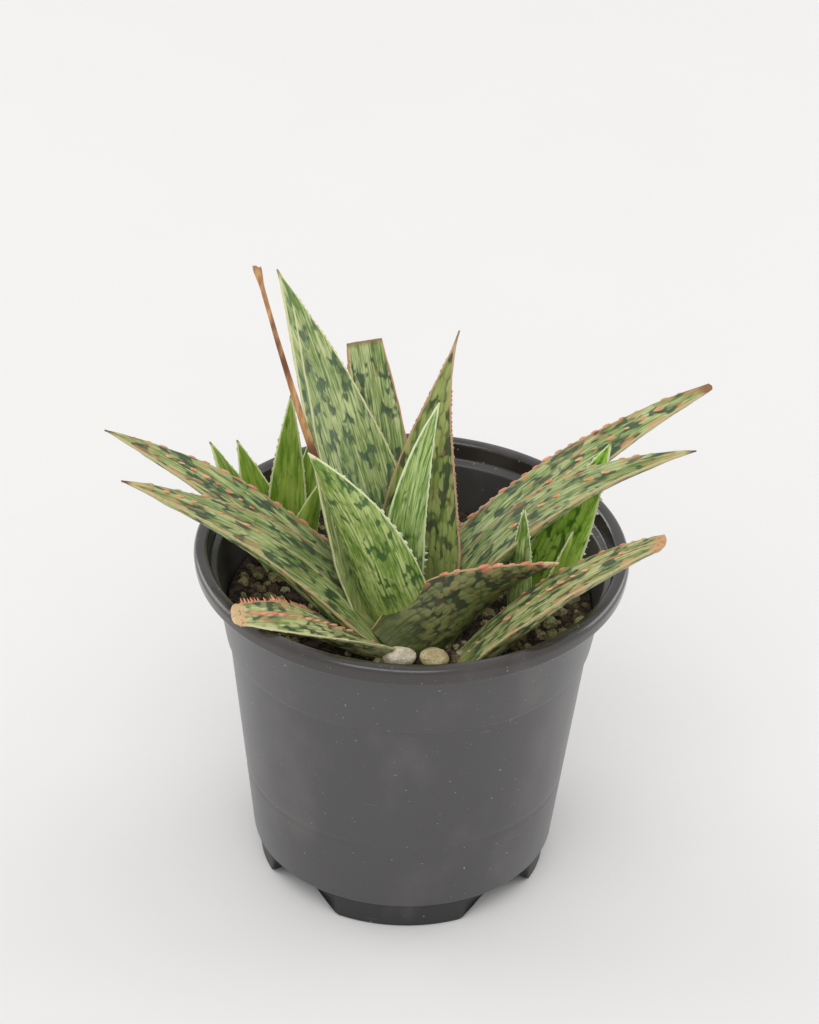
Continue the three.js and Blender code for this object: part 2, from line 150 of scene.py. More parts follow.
class Nodes:
    """Short calls that add nodes to one shader tree or geometry tree."""

    def __init__(self, tree: bpy.types.NodeTree) -> None:
        """Keeps the tree that the calls add to."""
        self.tree = tree

    def feed(self, socket: bpy.types.NodeSocket, value: object) -> None:
        """Fills an input with a link from an output, or with a plain value."""
        if isinstance(value, Flow):
            value = value.socket
        if isinstance(value, bpy.types.NodeSocket):
            self.tree.links.new(value, socket)
        elif value is not None:
            socket.default_value = value

    def add(self, kind: str, inputs: dict | None = None, **settings: object) -> bpy.types.Node:
        """Adds a node.

        Args:
            kind: Blender's name of the node type.
            inputs: Values or outputs by the input's name or place.
            settings: The node's own properties.

        Returns:
            The new node.
        """
        node = self.tree.nodes.new(kind)
        for name, value in settings.items():
            setattr(node, name, value)
        for name, value in (inputs or {}).items():
            self.feed(node.inputs[name], value)
        return node

    def out(self, kind: str, inputs: dict | None = None, output: object = 0, **settings) -> Flow:
        """Adds a node and returns one of its outputs, by its name or place."""
        return Flow(self, self.add(kind, inputs, **settings).outputs[output])

    def math(self, operation: str, first: object, second: object = None) -> Flow:
        """Adds one step of arithmetic."""
        return self.out("ShaderNodeMath", {0: first, 1: second}, operation=operation)

    def vector(self, operation: str, first: object, second: object) -> Flow:
        """Adds one step of arithmetic on vectors."""
        return self.out("ShaderNodeVectorMath", {0: first, 1: second}, operation=operation)

    def scale(self, vector: object, factor: object) -> Flow:
        """Scales a vector by a number."""
        return self.out("ShaderNodeVectorMath", {0: vector, "Scale": factor}, operation="SCALE")

    def split(self, vector: object) -> list[Flow]:
        """Parts a vector into its three numbers."""
        return [Flow(self, part) for part in self.add("ShaderNodeSeparateXYZ", {0: vector}).outputs]

    def join(self, first: object, second: object, third: object = 0.0) -> Flow:
        """Makes a vector of three numbers."""
        return self.out("ShaderNodeCombineXYZ", {0: first, 1: second, 2: third})

    def rise(self, value: object, low: float, high: float) -> Flow:
        """Rises smoothly from 0 at low to 1 at high, or falls where low is the larger."""
        ends, marks = ((low, high), (0.0, 1.0)) if low < high else ((high, low), (1.0, 0.0))
        inputs = {"Value": value, "From Min": ends[0], "From Max": ends[1]}
        inputs |= {"To Min": marks[0], "To Max": marks[1]}
        return self.out("ShaderNodeMapRange", inputs, interpolation_type="SMOOTHSTEP")

    def noise(self, vector: object, scale: float = 1.0, detail: float = 2.0) -> Flow:
        """Adds a noise from 0 to 1."""
        inputs = {"Vector": vector, "Scale": scale, "Detail": detail, "Roughness": 0.55}
        return self.out("ShaderNodeTexNoise", inputs)

    def grain(self, vector: object, stretch: tuple[float, float], detail: float = 2.0) -> Flow:
        """Adds a flat noise with its own scale along and across."""
        return self.noise(self.vector("MULTIPLY", vector, (*stretch, 0.0)), 1.0, detail)

    def mix(self, share: object, first: object, second: object) -> Flow:
        """Mixes two colours: the first at share 0, the second at share 1."""
        node = self.add("ShaderNodeMix", data_type="RGBA")
        sockets = {socket.identifier: socket for socket in [*node.inputs, *node.outputs]}
        for name, value in (("Factor_Float", share), ("A_Color", first), ("B_Color", second)):
            self.feed(sockets[name], value)
        return Flow(self, sockets["Result_Color"])

    def named(self, name: str, kind: str) -> Flow:
        """Reads a named attribute inside a geometry tree."""
        return self.out("GeometryNodeInputNamedAttribute", {"Name": name}, data_type=kind)


class Skin(Nodes):
    """A material under construction, with one shader at its end."""

    def __init__(self, name: str, gloss: float = 0.5) -> None:
        """Starts a material.

        Args:
            name: The material's name.
            gloss: How strongly it reflects, 0.5 for common plastic.
        """
        self.material = bpy.data.materials.new(name)
        self.material.use_nodes = True
        super().__init__(self.material.node_tree)
        self.shader = self.tree.nodes["Principled BSDF"].inputs
        self.shader["Specular IOR Level"].default_value = gloss
        self.places = self.out("ShaderNodeTexCoord", output="Object")

    def attribute(self, name: str) -> Flow:
        """Reads a vector that the mesh carries."""
        return self.out("ShaderNodeAttribute", output="Vector", attribute_name=name)

    def cloud(self, x: float, y: float, z: float, detail: float = 2.0) -> Flow:
        """Adds a noise on the object's coordinates, with its scale per millimetre for each axis."""
        stretch = (x / MM, y / MM, z / MM)
        return self.noise(self.vector("MULTIPLY", self.places, stretch), 1.0, detail)

    def done(
        self, colour: object, rough: object, relief: object = None, depth: float = 0.1
    ) -> Material:
        """Links the finished surface into the shader.

        Args:
            colour: The base colour.
            rough: The roughness.
            relief: A height from 0 to 1 for fine grain, or None for none.
            depth: The relief's height in millimetres.

        Returns:
            The finished material.
        """
        self.feed(self.shader["Base Color"], colour)
        self.feed(self.shader["Roughness"], rough)
        if relief is not None:
            bump = self.out("ShaderNodeBump", {"Height": relief, "Distance": depth * MM})
            self.feed(self.shader["Normal"], bump)
        return self.material


class Tree(Nodes):
    """A geometry tree under construction. It takes a mesh as its base, and named values."""

    def __init__(self, name: str, **values: str) -> None:
        """Starts the tree.

        Args:
            name: The tree's name.
            values: The kind of each value that it takes, by name.
        """
        super().__init__(bpy.data.node_groups.new(name, "GeometryNodeTree"))
        face = self.tree.interface
        for value, kind in {"Base": "Geometry", **values}.items():
            face.new_socket(value, in_out="INPUT", socket_type=f"NodeSocket{kind}")
        face.new_socket("Result", in_out="OUTPUT", socket_type="NodeSocketGeometry")
        self.entry = self.add("NodeGroupInput").outputs

    def draw(self, shift: float, low: float, high: float) -> Flow:
        """Draws a number for each point, seeded by the Seed input plus a shift."""
        node = self.add("FunctionNodeRandomValue", data_type="FLOAT")
        sockets = {socket.identifier: socket for socket in [*node.inputs, *node.outputs]}
        seed = self.math("ADD", self.entry["Seed"], shift)
        for name, value in (("Min_001", low), ("Max_001", high), ("Seed", seed)):
            self.feed(sockets[name], value)
        return Flow(self, sockets["Value_001"])

    def same(self, first: object, second: object) -> Flow:
        """Compares two whole numbers."""
        kind = {"data_type": "INT", "operation": "EQUAL"}
        return self.out("FunctionNodeCompare", {2: first, 3: second}, **kind)

    def end(self, result: object) -> None:
        """Gives the result out."""
        self.feed(self.add("NodeGroupOutput").inputs[0], result)

    def dress(self, grown: object, chosen: object, finish: object) -> None:
        """Joins what grew to the base, makes all of it plain and ends the tree.

        Args:
            grown: The instances.
            chosen: Which faces of the plain result take the finish.
            finish: The finish.
        """
        joined = self.add("GeometryNodeJoinGeometry")
        for part in (grown, self.entry["Base"]):
            self.feed(joined.inputs[0], part)
        plain = self.out("GeometryNodeRealizeInstances", {0: joined.outputs[0]})
        inputs = {"Geometry": plain, "Selection": chosen, "Material": finish}
        self.end(self.out("GeometryNodeSetMaterial", inputs))


def cell_field(nodes: Nodes, blade: object, size: tuple[float, float], shift: float) -> list[Flow]:
    """Draws the leaf's long cells, alike for its colour and its relief.

    Args:
        nodes: The tree to add to.
        blade: Millimetres along and across the leaf.
        size: A cell's length and width in millimetres.
        shift: An offset that gives each leaf its own pattern.

    Returns:
        How far each place is into a cell, and a number for each cell.
    """
    sway = [nodes.noise(blade, scale, 1.0) for scale in (0.22, 0.31)]
    drift = nodes.scale(nodes.join(*sway), 1.1)
    stretched = nodes.vector("MULTIPLY", blade, (1 / size[0], 1 / size[1], 0.0))
    moved = nodes.vector("ADD", nodes.vector("ADD", stretched, drift), (shift, shift * 1.7, 0.0))
    inputs = {"Vector": moved, "Scale": 1.0, "Randomness": 0.8}
    cells = nodes.add("ShaderNodeTexVoronoi", inputs, voronoi_dimensions="2D").outputs
    return [nodes.rise(cells["Distance"], 0.7, 0.22), nodes.split(cells["Color"])[0]]


@dataclass(frozen=True)
class LeafFinish:
    """The skin of a leaf: streaks, long pale cells, dark patches in bands, and its rims."""

    name: str = "leaf_skin"
    pale: Colour = srgb(196, 206, 150)
    middle: Colour = srgb(134, 154, 80)
    fresh: Colour = srgb(106, 134, 58)
    dark: Colour = srgb(50, 72, 50)
    root_green: Colour = srgb(150, 158, 92)
    rim: Colour = srgb(190, 176, 128)
    other_rim: Colour | None = None
    ridge: Colour = srgb(206, 190, 140)
    blush: Colour = srgb(206, 140, 100)
    tip: Colour = srgb(150, 112, 70)
    scab: Colour = srgb(134, 88, 56)
    cell: tuple[float, float] = (4.4, 1.45)
    net: float = 0.3
    bands: float = 0.9
    cover: float = 0.85
    streaks: float = 0.85
    ovals: float = 0.35
    blushing: float = 0.25
    rim_blush: float = 0.0
    ridge_line: float = 0.0
    fold_line: float = 0.0
    fold_inset: float = 3.1
    rim_width: float = 0.28
    tip_from: float = 0.96
    shift: float = 0.0

    def made(self) -> Material:
        """Builds the material.

        Returns:
            The material, which reads the leaf's own blade and place attributes.
        """
        skin = Skin(self.name, 0.4)
        blade = skin.attribute("blade")
        along, across, under = skin.split(blade)
        share, side, rim = skin.split(skin.attribute("place"))
        cell, tone = cell_field(skin, blade, self.cell, self.shift)
        seat = skin.vector("ADD", blade, (self.shift * 31.0, self.shift * 17.0, 0.0))

        zigzag = skin.grain(seat, (0.05, 0.33), 1.0)
        banding = skin.join((along + zigzag * 12.0) * 0.2, across * 0.26)
        turned = skin.vector("ADD", banding, (self.shift * 5.0, self.shift * 3.0, 0.0))
        start = 0.6 - 0.2 * self.cover
        band = skin.rise(skin.noise(turned), start, start + 0.18)
        patch = skin.rise((1.0 - cell) + band * 0.72, 0.34, 1.2) * (band * self.bands + self.net)
        patch = skin.math("MINIMUM", patch, 0.9) * skin.rise(share, 0.02, 0.22)

        fibre = skin.grain(seat, (0.09, 2.1), 3.0)
        hair = skin.grain(seat, (0.3, 5.0))
        wash = skin.grain(seat, (0.08, 0.3))
        streak = fibre * 0.75 + hair * 0.25
        paler = skin.rise(streak + (wash - 0.5) * 0.35, 0.44, 0.62) * self.streaks
        oval = cell * skin.rise(tone, 0.35, 0.95) * self.ovals
        colour = skin.mix(skin.rise(wash, 0.6, 0.38), self.middle, self.fresh)
        colour = skin.mix(skin.math("MAXIMUM", paler, oval), colour, self.pale)
        colour = skin.mix(skin.rise(streak, 0.49, 0.36) * 0.55, colour, self.dark)
        colour = skin.mix(skin.rise(share, 0.24, 0.0) * 0.7, colour, self.root_green)
        colour = skin.mix(patch, colour, self.dark)

        spots = skin.rise(skin.grain(seat, (0.16, 0.55)), 0.56, 0.68) * skin.rise(share, 0.15, 0.7)
        colour = skin.mix(spots * self.blushing, colour, self.blush)
        blotch = skin.rise(skin.grain(seat, (0.26, 0.4), 1.0), 0.5, 0.6)
        colour = skin.mix(blotch * skin.rise(rim, 2.4, 0.5) * self.rim_blush, colour, self.blush)

        off = skin.math("ABSOLUTE", across) + under * 9.0 + hair * 0.5
        line = skin.rise(off, 0.75, 0.35) * skin.rise(share, 0.03, 0.1)
        colour = skin.mix(line * self.ridge_line, colour, self.ridge)
        inset = skin.math("ABSOLUTE", (rim + zigzag * 1.2) - self.fold_inset)
        led = skin.math("GREATER_THAN", side, 0.0) * skin.rise(under, 0.5, 0.1)
        fold = skin.rise(inset, 0.4, 0.15) * led * skin.rise(share, 0.1, 0.3)
        colour = skin.mix(fold * self.fold_line, colour, self.rim)
        edge = skin.rise(rim + hair * -0.3, self.rim_width, self.rim_width * 0.3)
        rims = skin.mix(skin.math("LESS_THAN", side, 0.0), self.rim, self.other_rim or self.rim)
        colour = skin.mix(edge, colour, rims)
        husk = skin.mix(skin.rise(skin.grain(seat, (1.1, 1.1)), 0.54, 0.7), self.tip, self.scab)
        worn = skin.rise(share + fibre * 0.03, self.tip_from, self.tip_from + 0.03)
        colour = skin.mix(worn, colour, husk)
        return skin.done(colour, fibre * 0.2 + 0.4, cell * 0.5 + streak * 0.6, 0.12)


@dataclass(frozen=True)
class HornFinish:
    """The hard skin of margin teeth and bumps, mottled between two colours."""

    name: str
    light: Colour
    deep: Colour

    @cache
    def made(self) -> Material:
        """Builds the material, once for all leaves.

        Returns:
            The material, mottled on the object's own coordinates.
        """
        skin = Skin(self.name, 0.45)
        grain = skin.cloud(3.0, 3.0, 3.0)
        both = skin.cloud(0.5, 0.5, 0.5) * 0.7 + grain * 0.3
        colour = skin.mix(skin.rise(both, 0.4, 0.62), self.deep, self.light)
        return skin.done(colour, grain * 0.15 + 0.55, grain, 0.05)


class Edge(Enum):
    """The rows of a leaf that carry teeth, by their mark on the mesh."""

    LEADING = 1
    TRAILING = 2
    FACE = 3


class ToothShape(Enum):
    """How a tooth is formed."""

    BLUNT = 0
    SHARP = 1


@dataclass(frozen=True)
class Fringe:
    """One row of teeth or bumps along an edge of a leaf. Sizes are in millimetres."""

    edge: Edge
    horn: HornFinish
    start: float
    end: float
    spacing: float
    length: float
    height: float
    shape: ToothShape = ToothShape.BLUNT

    def values(self, seed: int) -> dict[str, object]:
        """The row's values for the tree that sets teeth."""
        return {
            "Edge": self.edge.value,
            "Start": self.start,
            "End": self.end,
            "Spacing": self.spacing * MM,
            "Length": self.length * MM,
            "Height": self.height * 2 * MM,
            "Shape": self.shape.value,
            "Seed": seed,
            "Horn": self.horn.made(),
        }


CORAL = HornFinish("coral_horn", srgb(230, 170, 140), srgb(216, 130, 102))
ORANGE = HornFinish("orange_horn", srgb(224, 178, 134), srgb(210, 146, 104))
PINK_TAN = HornFinish("pink_tan_horn", srgb(204, 162, 130), srgb(176, 122, 96))
CREAM = HornFinish("cream_horn", srgb(222, 218, 176), srgb(196, 196, 140))
TAN_GREEN = HornFinish("tan_green_horn", srgb(196, 186, 134), srgb(164, 158, 104))
WHITE = HornFinish("white_horn", srgb(226, 230, 204), srgb(190, 206, 158))


def fringe_tree() -> Tree:
    """Builds the tree that sets teeth along one marked edge of a leaf.

    Returns:
        The tree, which takes every value of a fringe.
    """
    sizes = dict.fromkeys(("Start", "End", "Spacing", "Length", "Height"), "Float")
    tree = Tree("leaf_fringe", Edge="Int", **sizes, Shape="Int", Seed="Int", Horn="Material")
    entry = tree.entry
    marked = tree.same(tree.named("edge_mark", "INT"), entry["Edge"])
    kind = {"domain": "POINT", "data_type": "BOOLEAN"}
    marked = tree.out("GeometryNodeFieldOnDomain", {"Value": marked}, **kind)
    line = tree.out("GeometryNodeMeshToCurve", {"Mesh": entry["Base"], "Selection": marked})
    inputs = {"Curve": line, "Length": entry["Spacing"]}
    spaced = tree.out("GeometryNodeResampleCurve", inputs, mode="LENGTH")
    share = tree.named("share", "FLOAT")
    after = tree.math("GREATER_THAN", share, entry["Start"])
    before = tree.math("LESS_THAN", share, entry["End"])
    kept = tree.math("GREATER_THAN", tree.draw(0.0, 0.0, 1.0), MISSING_TEETH)
    blunt = tree.out("GeometryNodeMeshIcoSphere", {"Radius": 0.5, "Subdivisions": 2})
    cone = {"Vertices": 7, "Radius Top": 0.06, "Radius Bottom": 0.5, "Depth": 1.0}
    inputs = {
        "Switch": tree.math("GREATER_THAN", entry["Shape"], 0.5),
        "False": blunt,
        "True": tree.out("GeometryNodeMeshCone", cone),
    }
    tooth = tree.out("GeometryNodeSwitch", inputs, input_type="GEOMETRY")
    inputs = {"Vector": tree.named("outward", "FLOAT_VECTOR")}
    upright = tree.out("FunctionNodeAlignRotationToVector", inputs, axis="Z")
    inputs = {"Rotation": upright, "Vector": tree.named("forward", "FLOAT_VECTOR")}
    facing = tree.out("FunctionNodeAlignRotationToVector", inputs, axis="X", pivot_axis="Z")
    thick = tree.math("MULTIPLY", entry["Length"], TOOTH_THICKNESS)
    form = tree.join(entry["Length"], thick, entry["Height"])
    inputs = {
        "Points": spaced,
        "Selection": after * before * kept,
        "Instance": tooth,
        "Rotation": facing,
        "Scale": tree.scale(form, tree.draw(7.0, *TOOTH_SIZES)),
    }
    teeth = tree.out("GeometryNodeInstanceOnPoints", inputs)
    inputs = {"Geometry": teeth, "Name": "tooth_mark", "Value": entry["Seed"]}
    signed = tree.out("GeometryNodeStoreNamedAttribute", inputs, data_type="INT", domain="INSTANCE")
    tree.dress(signed, tree.same(tree.named("tooth_mark", "INT"), entry["Seed"]), entry["Horn"])
    return tree


def relief_tree(cell: tuple[float, float], shift: float) -> Tree:
    """Builds the tree that raises the cells and fine ribs of one leaf's skin.

    Args:
        cell: A cell's length and width in millimetres.
        shift: The pattern's offset.

    Returns:
        The tree, which takes how far a cell stands up.
    """
    tree = Tree("leaf_relief", Height="Float")
    blade = tree.named("blade", "FLOAT_VECTOR")
    oval, _tone = cell_field(tree, blade, cell, shift)
    lifted = (oval + tree.grain(blade, (0.04, 0.8), 1.0) * 1.2) * tree.entry["Height"]
    offset = tree.scale(tree.out("GeometryNodeInputNormal"), lifted)
    inputs = {"Geometry": tree.entry["Base"], "Offset": offset}
    tree.end(tree.out("GeometryNodeSetPosition", inputs))
    return tree


def put(name: str, data: bpy.types.ID) -> bpy.types.Object:
    """Adds an object with that data to the scene."""
    piece = bpy.data.objects.new(name, data)
    bpy.context.scene.collection.objects.link(piece)
    return piece


def feed_modifier(obj: bpy.types.Object, tree: Tree, values: dict) -> None:
    """Adds a geometry tree to an object and sets its inputs by their identifiers.

    Args:
        obj: The object to add the tree to.
        tree: The tree.
        values: The inputs' values by name.
    """
    group = tree.tree
    modifier = obj.modifiers.new(group.name, "NODES")
    modifier.node_group = group
    for item in group.interface.items_tree:
        if item.item_type == "SOCKET" and item.in_out == "INPUT" and item.name in values:
            modifier[item.identifier] = values[item.name]


def settle(obj: bpy.types.Object) -> None:
    """Turns an object's live modifiers into its plain mesh and removes them."""
    graph = bpy.context.evaluated_depsgraph_get()
    plain = bpy.data.meshes.new_from_object(obj.evaluated_get(graph), depsgraph=graph)
    old = obj.data
    obj.modifiers.clear()
    plain.name = old.name
    obj.data = plain
    bpy.data.meshes.remove(old)


def solid(
    name: str, points: np.ndarray, faces: list, finishes: list, sharp: float = 50.0
) -> bpy.types.Object:
    """Makes a closed piece from points in millimetres round the pot's axis.

    Args:
        name: The piece's name.
        points: One row for each corner.
        faces: Corner numbers for each face.
        finishes: The piece's materials, in slot order.
        sharp: The angle in degrees from which an edge shows sharp.

    Returns:
        The piece, with its faces turned outwards.
    """
    mesh = bpy.data.meshes.new(name)
    placed = np.asarray(points, float) * MM + np.array(POT_AXIS)
    mesh.from_pydata(placed.tolist(), [], faces)
    shell = bmesh.new()
    shell.from_mesh(mesh)
    bmesh.ops.recalc_face_normals(shell, faces=shell.faces)
    shell.to_mesh(mesh)
    shell.free()
    mesh.polygons.foreach_set("use_smooth", [True] * len(mesh.polygons))
    mesh.set_sharp_from_angle(angle=math.radians(sharp))
    for finish in finishes:
        mesh.materials.append(finish)
    return put(name, mesh)


def carry(mesh: bpy.types.Mesh, name: str, kind: str, values: np.ndarray) -> None:
    """Stores a value for each corner point of a mesh.

    Args:
        mesh: The mesh that carries the values.
        name: The attribute's name.
        kind: FLOAT, INT or FLOAT_VECTOR.
        values: One row for each point.
    """
    layer = mesh.attributes.new(name, kind, "POINT")
    key = "vector" if kind == "FLOAT_VECTOR" else "value"
    layer.data.foreach_set(key, np.ascontiguousarray(values).ravel())


def tube_faces(rings: int, sides: int) -> list:
    """Faces of a tube of rings, each with its points in the same order.

    Args:
        rings: How many rings there are.
        sides: How many points each ring has.

    Returns:
        The tube's four-sided faces, open at both ends.
    """
    ring, side = np.meshgrid(np.arange(rings - 1), np.arange(sides), indexing="ij")
    a = ring * sides + side
    b = ring * sides + (side + 1) % sides
    return np.stack([a, b, b + sides, a + sides], -1).reshape(-1, 4).tolist()


def capped(rings: int, sides: int, first: int, last: int) -> list:
    """Faces of a tube that closes in a fan at each end.

    Args:
        rings: How many rings there are.
        sides: How many points each ring has.
        first: The number of the point that closes the first ring.
        last: The number of the point that closes the last ring.

    Returns:
        The faces of the closed tube.
    """
    faces = tube_faces(rings, sides)
    end = (rings - 1) * sides
    for side in range(sides):
        following = (side + 1) % sides
        faces.append((first, following, side))
        faces.append((last, end + side, end + following))
    return faces


def show(piece: bpy.types.Object, node: str | None, slot: str) -> None:
    """Puts a finished piece on the part.

    Args:
        piece: The piece.
        node: The node that it stands for, or None where it is an addition.
        slot: The record's material slot; not used.
    """
    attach(piece, "root")
    if node is not None:
        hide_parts(node)
    LOG.info("%s: %d faces", piece.name, len(piece.data.polygons))


def axis_of(node: str) -> Point:
    """The middle of a node's footprint, in metres, at the ground."""
    low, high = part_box(node)
    return ((low.x + high.x) / 2, (low.y + high.y) / 2, 0.0)


POT_AXIS = axis_of("pot")


@dataclass(frozen=True)
class Panel:
    """A soft square light that looks at the plant. Sizes are in metres and watts."""

    name: str
    place: Point
    size: float
    power: float
    looks_at: Point = (0.0, 0.0, 0.07)

    def hang(self) -> None:
        """Hangs the light."""
        data = bpy.data.lights.new(self.name, "AREA")
        data.shape = "SQUARE"
        data.size = self.size
        data.energy = self.power
        towards = Vector(self.looks_at) - Vector(self.place)
        turned = towards.to_track_quat("-Z", "Y").to_matrix().to_4x4()
        put(self.name, data).matrix_world = Matrix.Translation(self.place) @ turned


PANELS = (
    Panel("overhead", (-0.2, -1.1, 1.4), 1.3, 10.0),
    Panel("left_side", (-1.25, 0.6, 0.3), 1.0, 7.0),
    Panel("right_side", (1.25, 0.6, 0.3), 1.0, 7.0),
)


@dataclass
class Studio:
    """The camera, the pale floor and the soft light. Sizes are in metres and degrees."""

    elevation: float = 32.82
    roll: float = 2.0
    distance: float = 0.9
    lens: float = 136.05
    target: Point = (-0.00084, 0.0, 0.0953)
    floor_half: float = 4.5
    floor_level: float = -0.0001
    floor_dark: Colour = srgb(235, 234, 233)
    floor_pale: Colour = srgb(237, 236, 235)
    sky: Colour = srgb(250, 250, 250)
    sky_strength: float = 0.8

    def camera(self) -> None:
        """Sets the camera at the photograph's angle."""
        lift = math.radians(self.elevation)
        turn = math.radians(self.roll)
        forward = Vector((0.0, math.cos(lift), -math.sin(lift)))
        right = Vector((1.0, 0.0, 0.0))
        above = right.cross(forward)
        rolled = right * math.cos(turn) + above * math.sin(turn)
        upward = above * math.cos(turn) - right * math.sin(turn)
        place = Vector(self.target) + Vector(POT_AXIS) - forward * self.distance
        data = bpy.data.cameras.new("camera")
        data.lens = self.lens
        data.sensor_width = 36.0
        data.sensor_fit = "AUTO"
        data.clip_start = 0.05
        data.clip_end = 50.0
        camera = put("camera", data)
        basis = Matrix((rolled, upward, -forward)).transposed().to_4x4()
        camera.matrix_world = Matrix.Translation(place) @ basis
        bpy.context.scene.camera = camera

    def floor(self) -> None:
        """Lays the floor under the pot."""
        skin = Skin("pale_floor", 0.1)
        grain = skin.cloud(0.02, 0.02, 0.02)
        material = skin.done(skin.mix(grain, self.floor_dark, self.floor_pale), 0.9)
        half = self.floor_half
        corners = [(-half, -half, 0.0), (half, -half, 0.0), (half, half, 0.0), (-half, half, 0.0)]
        mesh = bpy.data.meshes.new("floor")
        mesh.from_pydata(corners, [], [(0, 1, 2, 3)])
        mesh.materials.append(material)
        floor = put("floor", mesh)
        floor.location.z = self.floor_level

    def light(self) -> None:
        """Lights the scene evenly from all round and a little more from above."""
        world = bpy.data.worlds.new("studio")
        world.use_nodes = True
        background = world.node_tree.nodes["Background"].inputs
        background["Color"].default_value = self.sky
        background["Strength"].default_value = self.sky_strength
        bpy.context.scene.world = world
        bpy.context.scene.view_settings.view_transform = "Standard"
        for panel in PANELS:
            panel.hang()

    def build(self) -> None:
        """Makes the camera, the floor and the lights."""
        self.camera()
        self.floor()
        self.light()


@dataclass(frozen=True)
class PotFinish:
    """Satin moulded plastic, glossier and browner on the lip, dusty and finely scratched, with
    painted near-black shade on the inside of the wall.
    """

    name: str = "pot_plastic"
    grey: Colour = srgb(64, 63, 65)
    brown: Colour = srgb(56, 50, 49)
    lip_brown: Colour = srgb(44, 38, 36)
    # Painted shade: a near-black colour for the inside of the wall, which is the same plastic as
    # the outside.
    inside_painted_shade: Colour = srgb(9, 8, 10)
    dust: Colour = srgb(190, 184, 176)
    lip_from: float = 81.0
    inside_radius: float = 34.2
    inside_slope: float = 0.115

    def made(self) -> Material:
        """Builds the material.

        Returns:
            The material, patterned on the object's coordinates in millimetres.
        """
        skin = Skin(self.name)
        east, north, height = skin.split(skin.vector("SUBTRACT", skin.places, POT_AXIS))
        flat = {0: skin.join(east, north)}
        radius = skin.out("ShaderNodeVectorMath", flat, "Value", operation="LENGTH")
        radius, level = skin.math("DIVIDE", radius, MM), skin.math("DIVIDE", height, MM)
        lip = skin.rise(level, self.lip_from, self.lip_from + 1.0)
        # Marks the inside of the wall. Shade is painted there as a near-black colour, with weaker
        # reflection and more roughness.
        within = skin.rise(radius - (level * self.inside_slope + self.inside_radius), 0.4, 0.0)
        cloud = skin.cloud(0.05, 0.05, 0.03, 3.0)
        grain = skin.cloud(2.2, 2.2, 2.2)
        film = skin.rise(cloud, 0.5, 0.75) * 0.06
        spots = skin.rise(skin.cloud(1.1, 1.1, 1.1, 1.0), 0.755, 0.79) * 0.5
        scratch = skin.rise(skin.cloud(0.12, 0.12, 2.4), 0.73, 0.78) * 0.16
        dusty = skin.math("MAXIMUM", skin.math("MAXIMUM", film, spots), scratch)
        colour = skin.mix(cloud * 0.35, self.grey, self.brown)
        colour = skin.mix(lip * 0.85, colour, self.lip_brown)
        colour = skin.mix(within * 0.97, colour, self.inside_painted_shade)
        colour = skin.mix(dusty, colour, self.dust)
        skin.feed(skin.shader["Specular IOR Level"], 0.75 - within * 0.6)
        rough = (cloud * 0.12 + 0.26) - lip * 0.16 + within * 0.45
        return skin.done(colour, rough, grain + scratch * -2.0, 0.03)


def bent(start: np.ndarray, control: np.ndarray, end: np.ndarray, share: object) -> np.ndarray:
    """The place at a share of a curve from start to end that leans towards the control point."""
    return (1 - share) ** 2 * start + 2 * share * (1 - share) * control + share**2 * end


def rounded(profile: list, radius: float, steps: int = 4) -> list:
    """Rounds the corners of an open profile.

    Args:
        profile: Pairs of radius and height in millimetres.
        radius: How far from a corner the rounding starts.
        steps: How many points round a corner.

    Returns:
        The profile with rounded corners.
    """
    points = [np.array(pair, float) for pair in profile]
    result = [points[0]]
    for before, corner, after in zip(points, points[1:], points[2:]):
        reach_in = min(radius, np.linalg.norm(before - corner) * 0.45)
        reach_out = min(radius, np.linalg.norm(after - corner) * 0.45)
        start = corner + unit(before - corner) * reach_in
        end = corner + unit(after - corner) * reach_out
        result += [bent(start, corner, end, share) for share in np.linspace(0, 1, steps + 1)]
    return [*result, points[-1]]


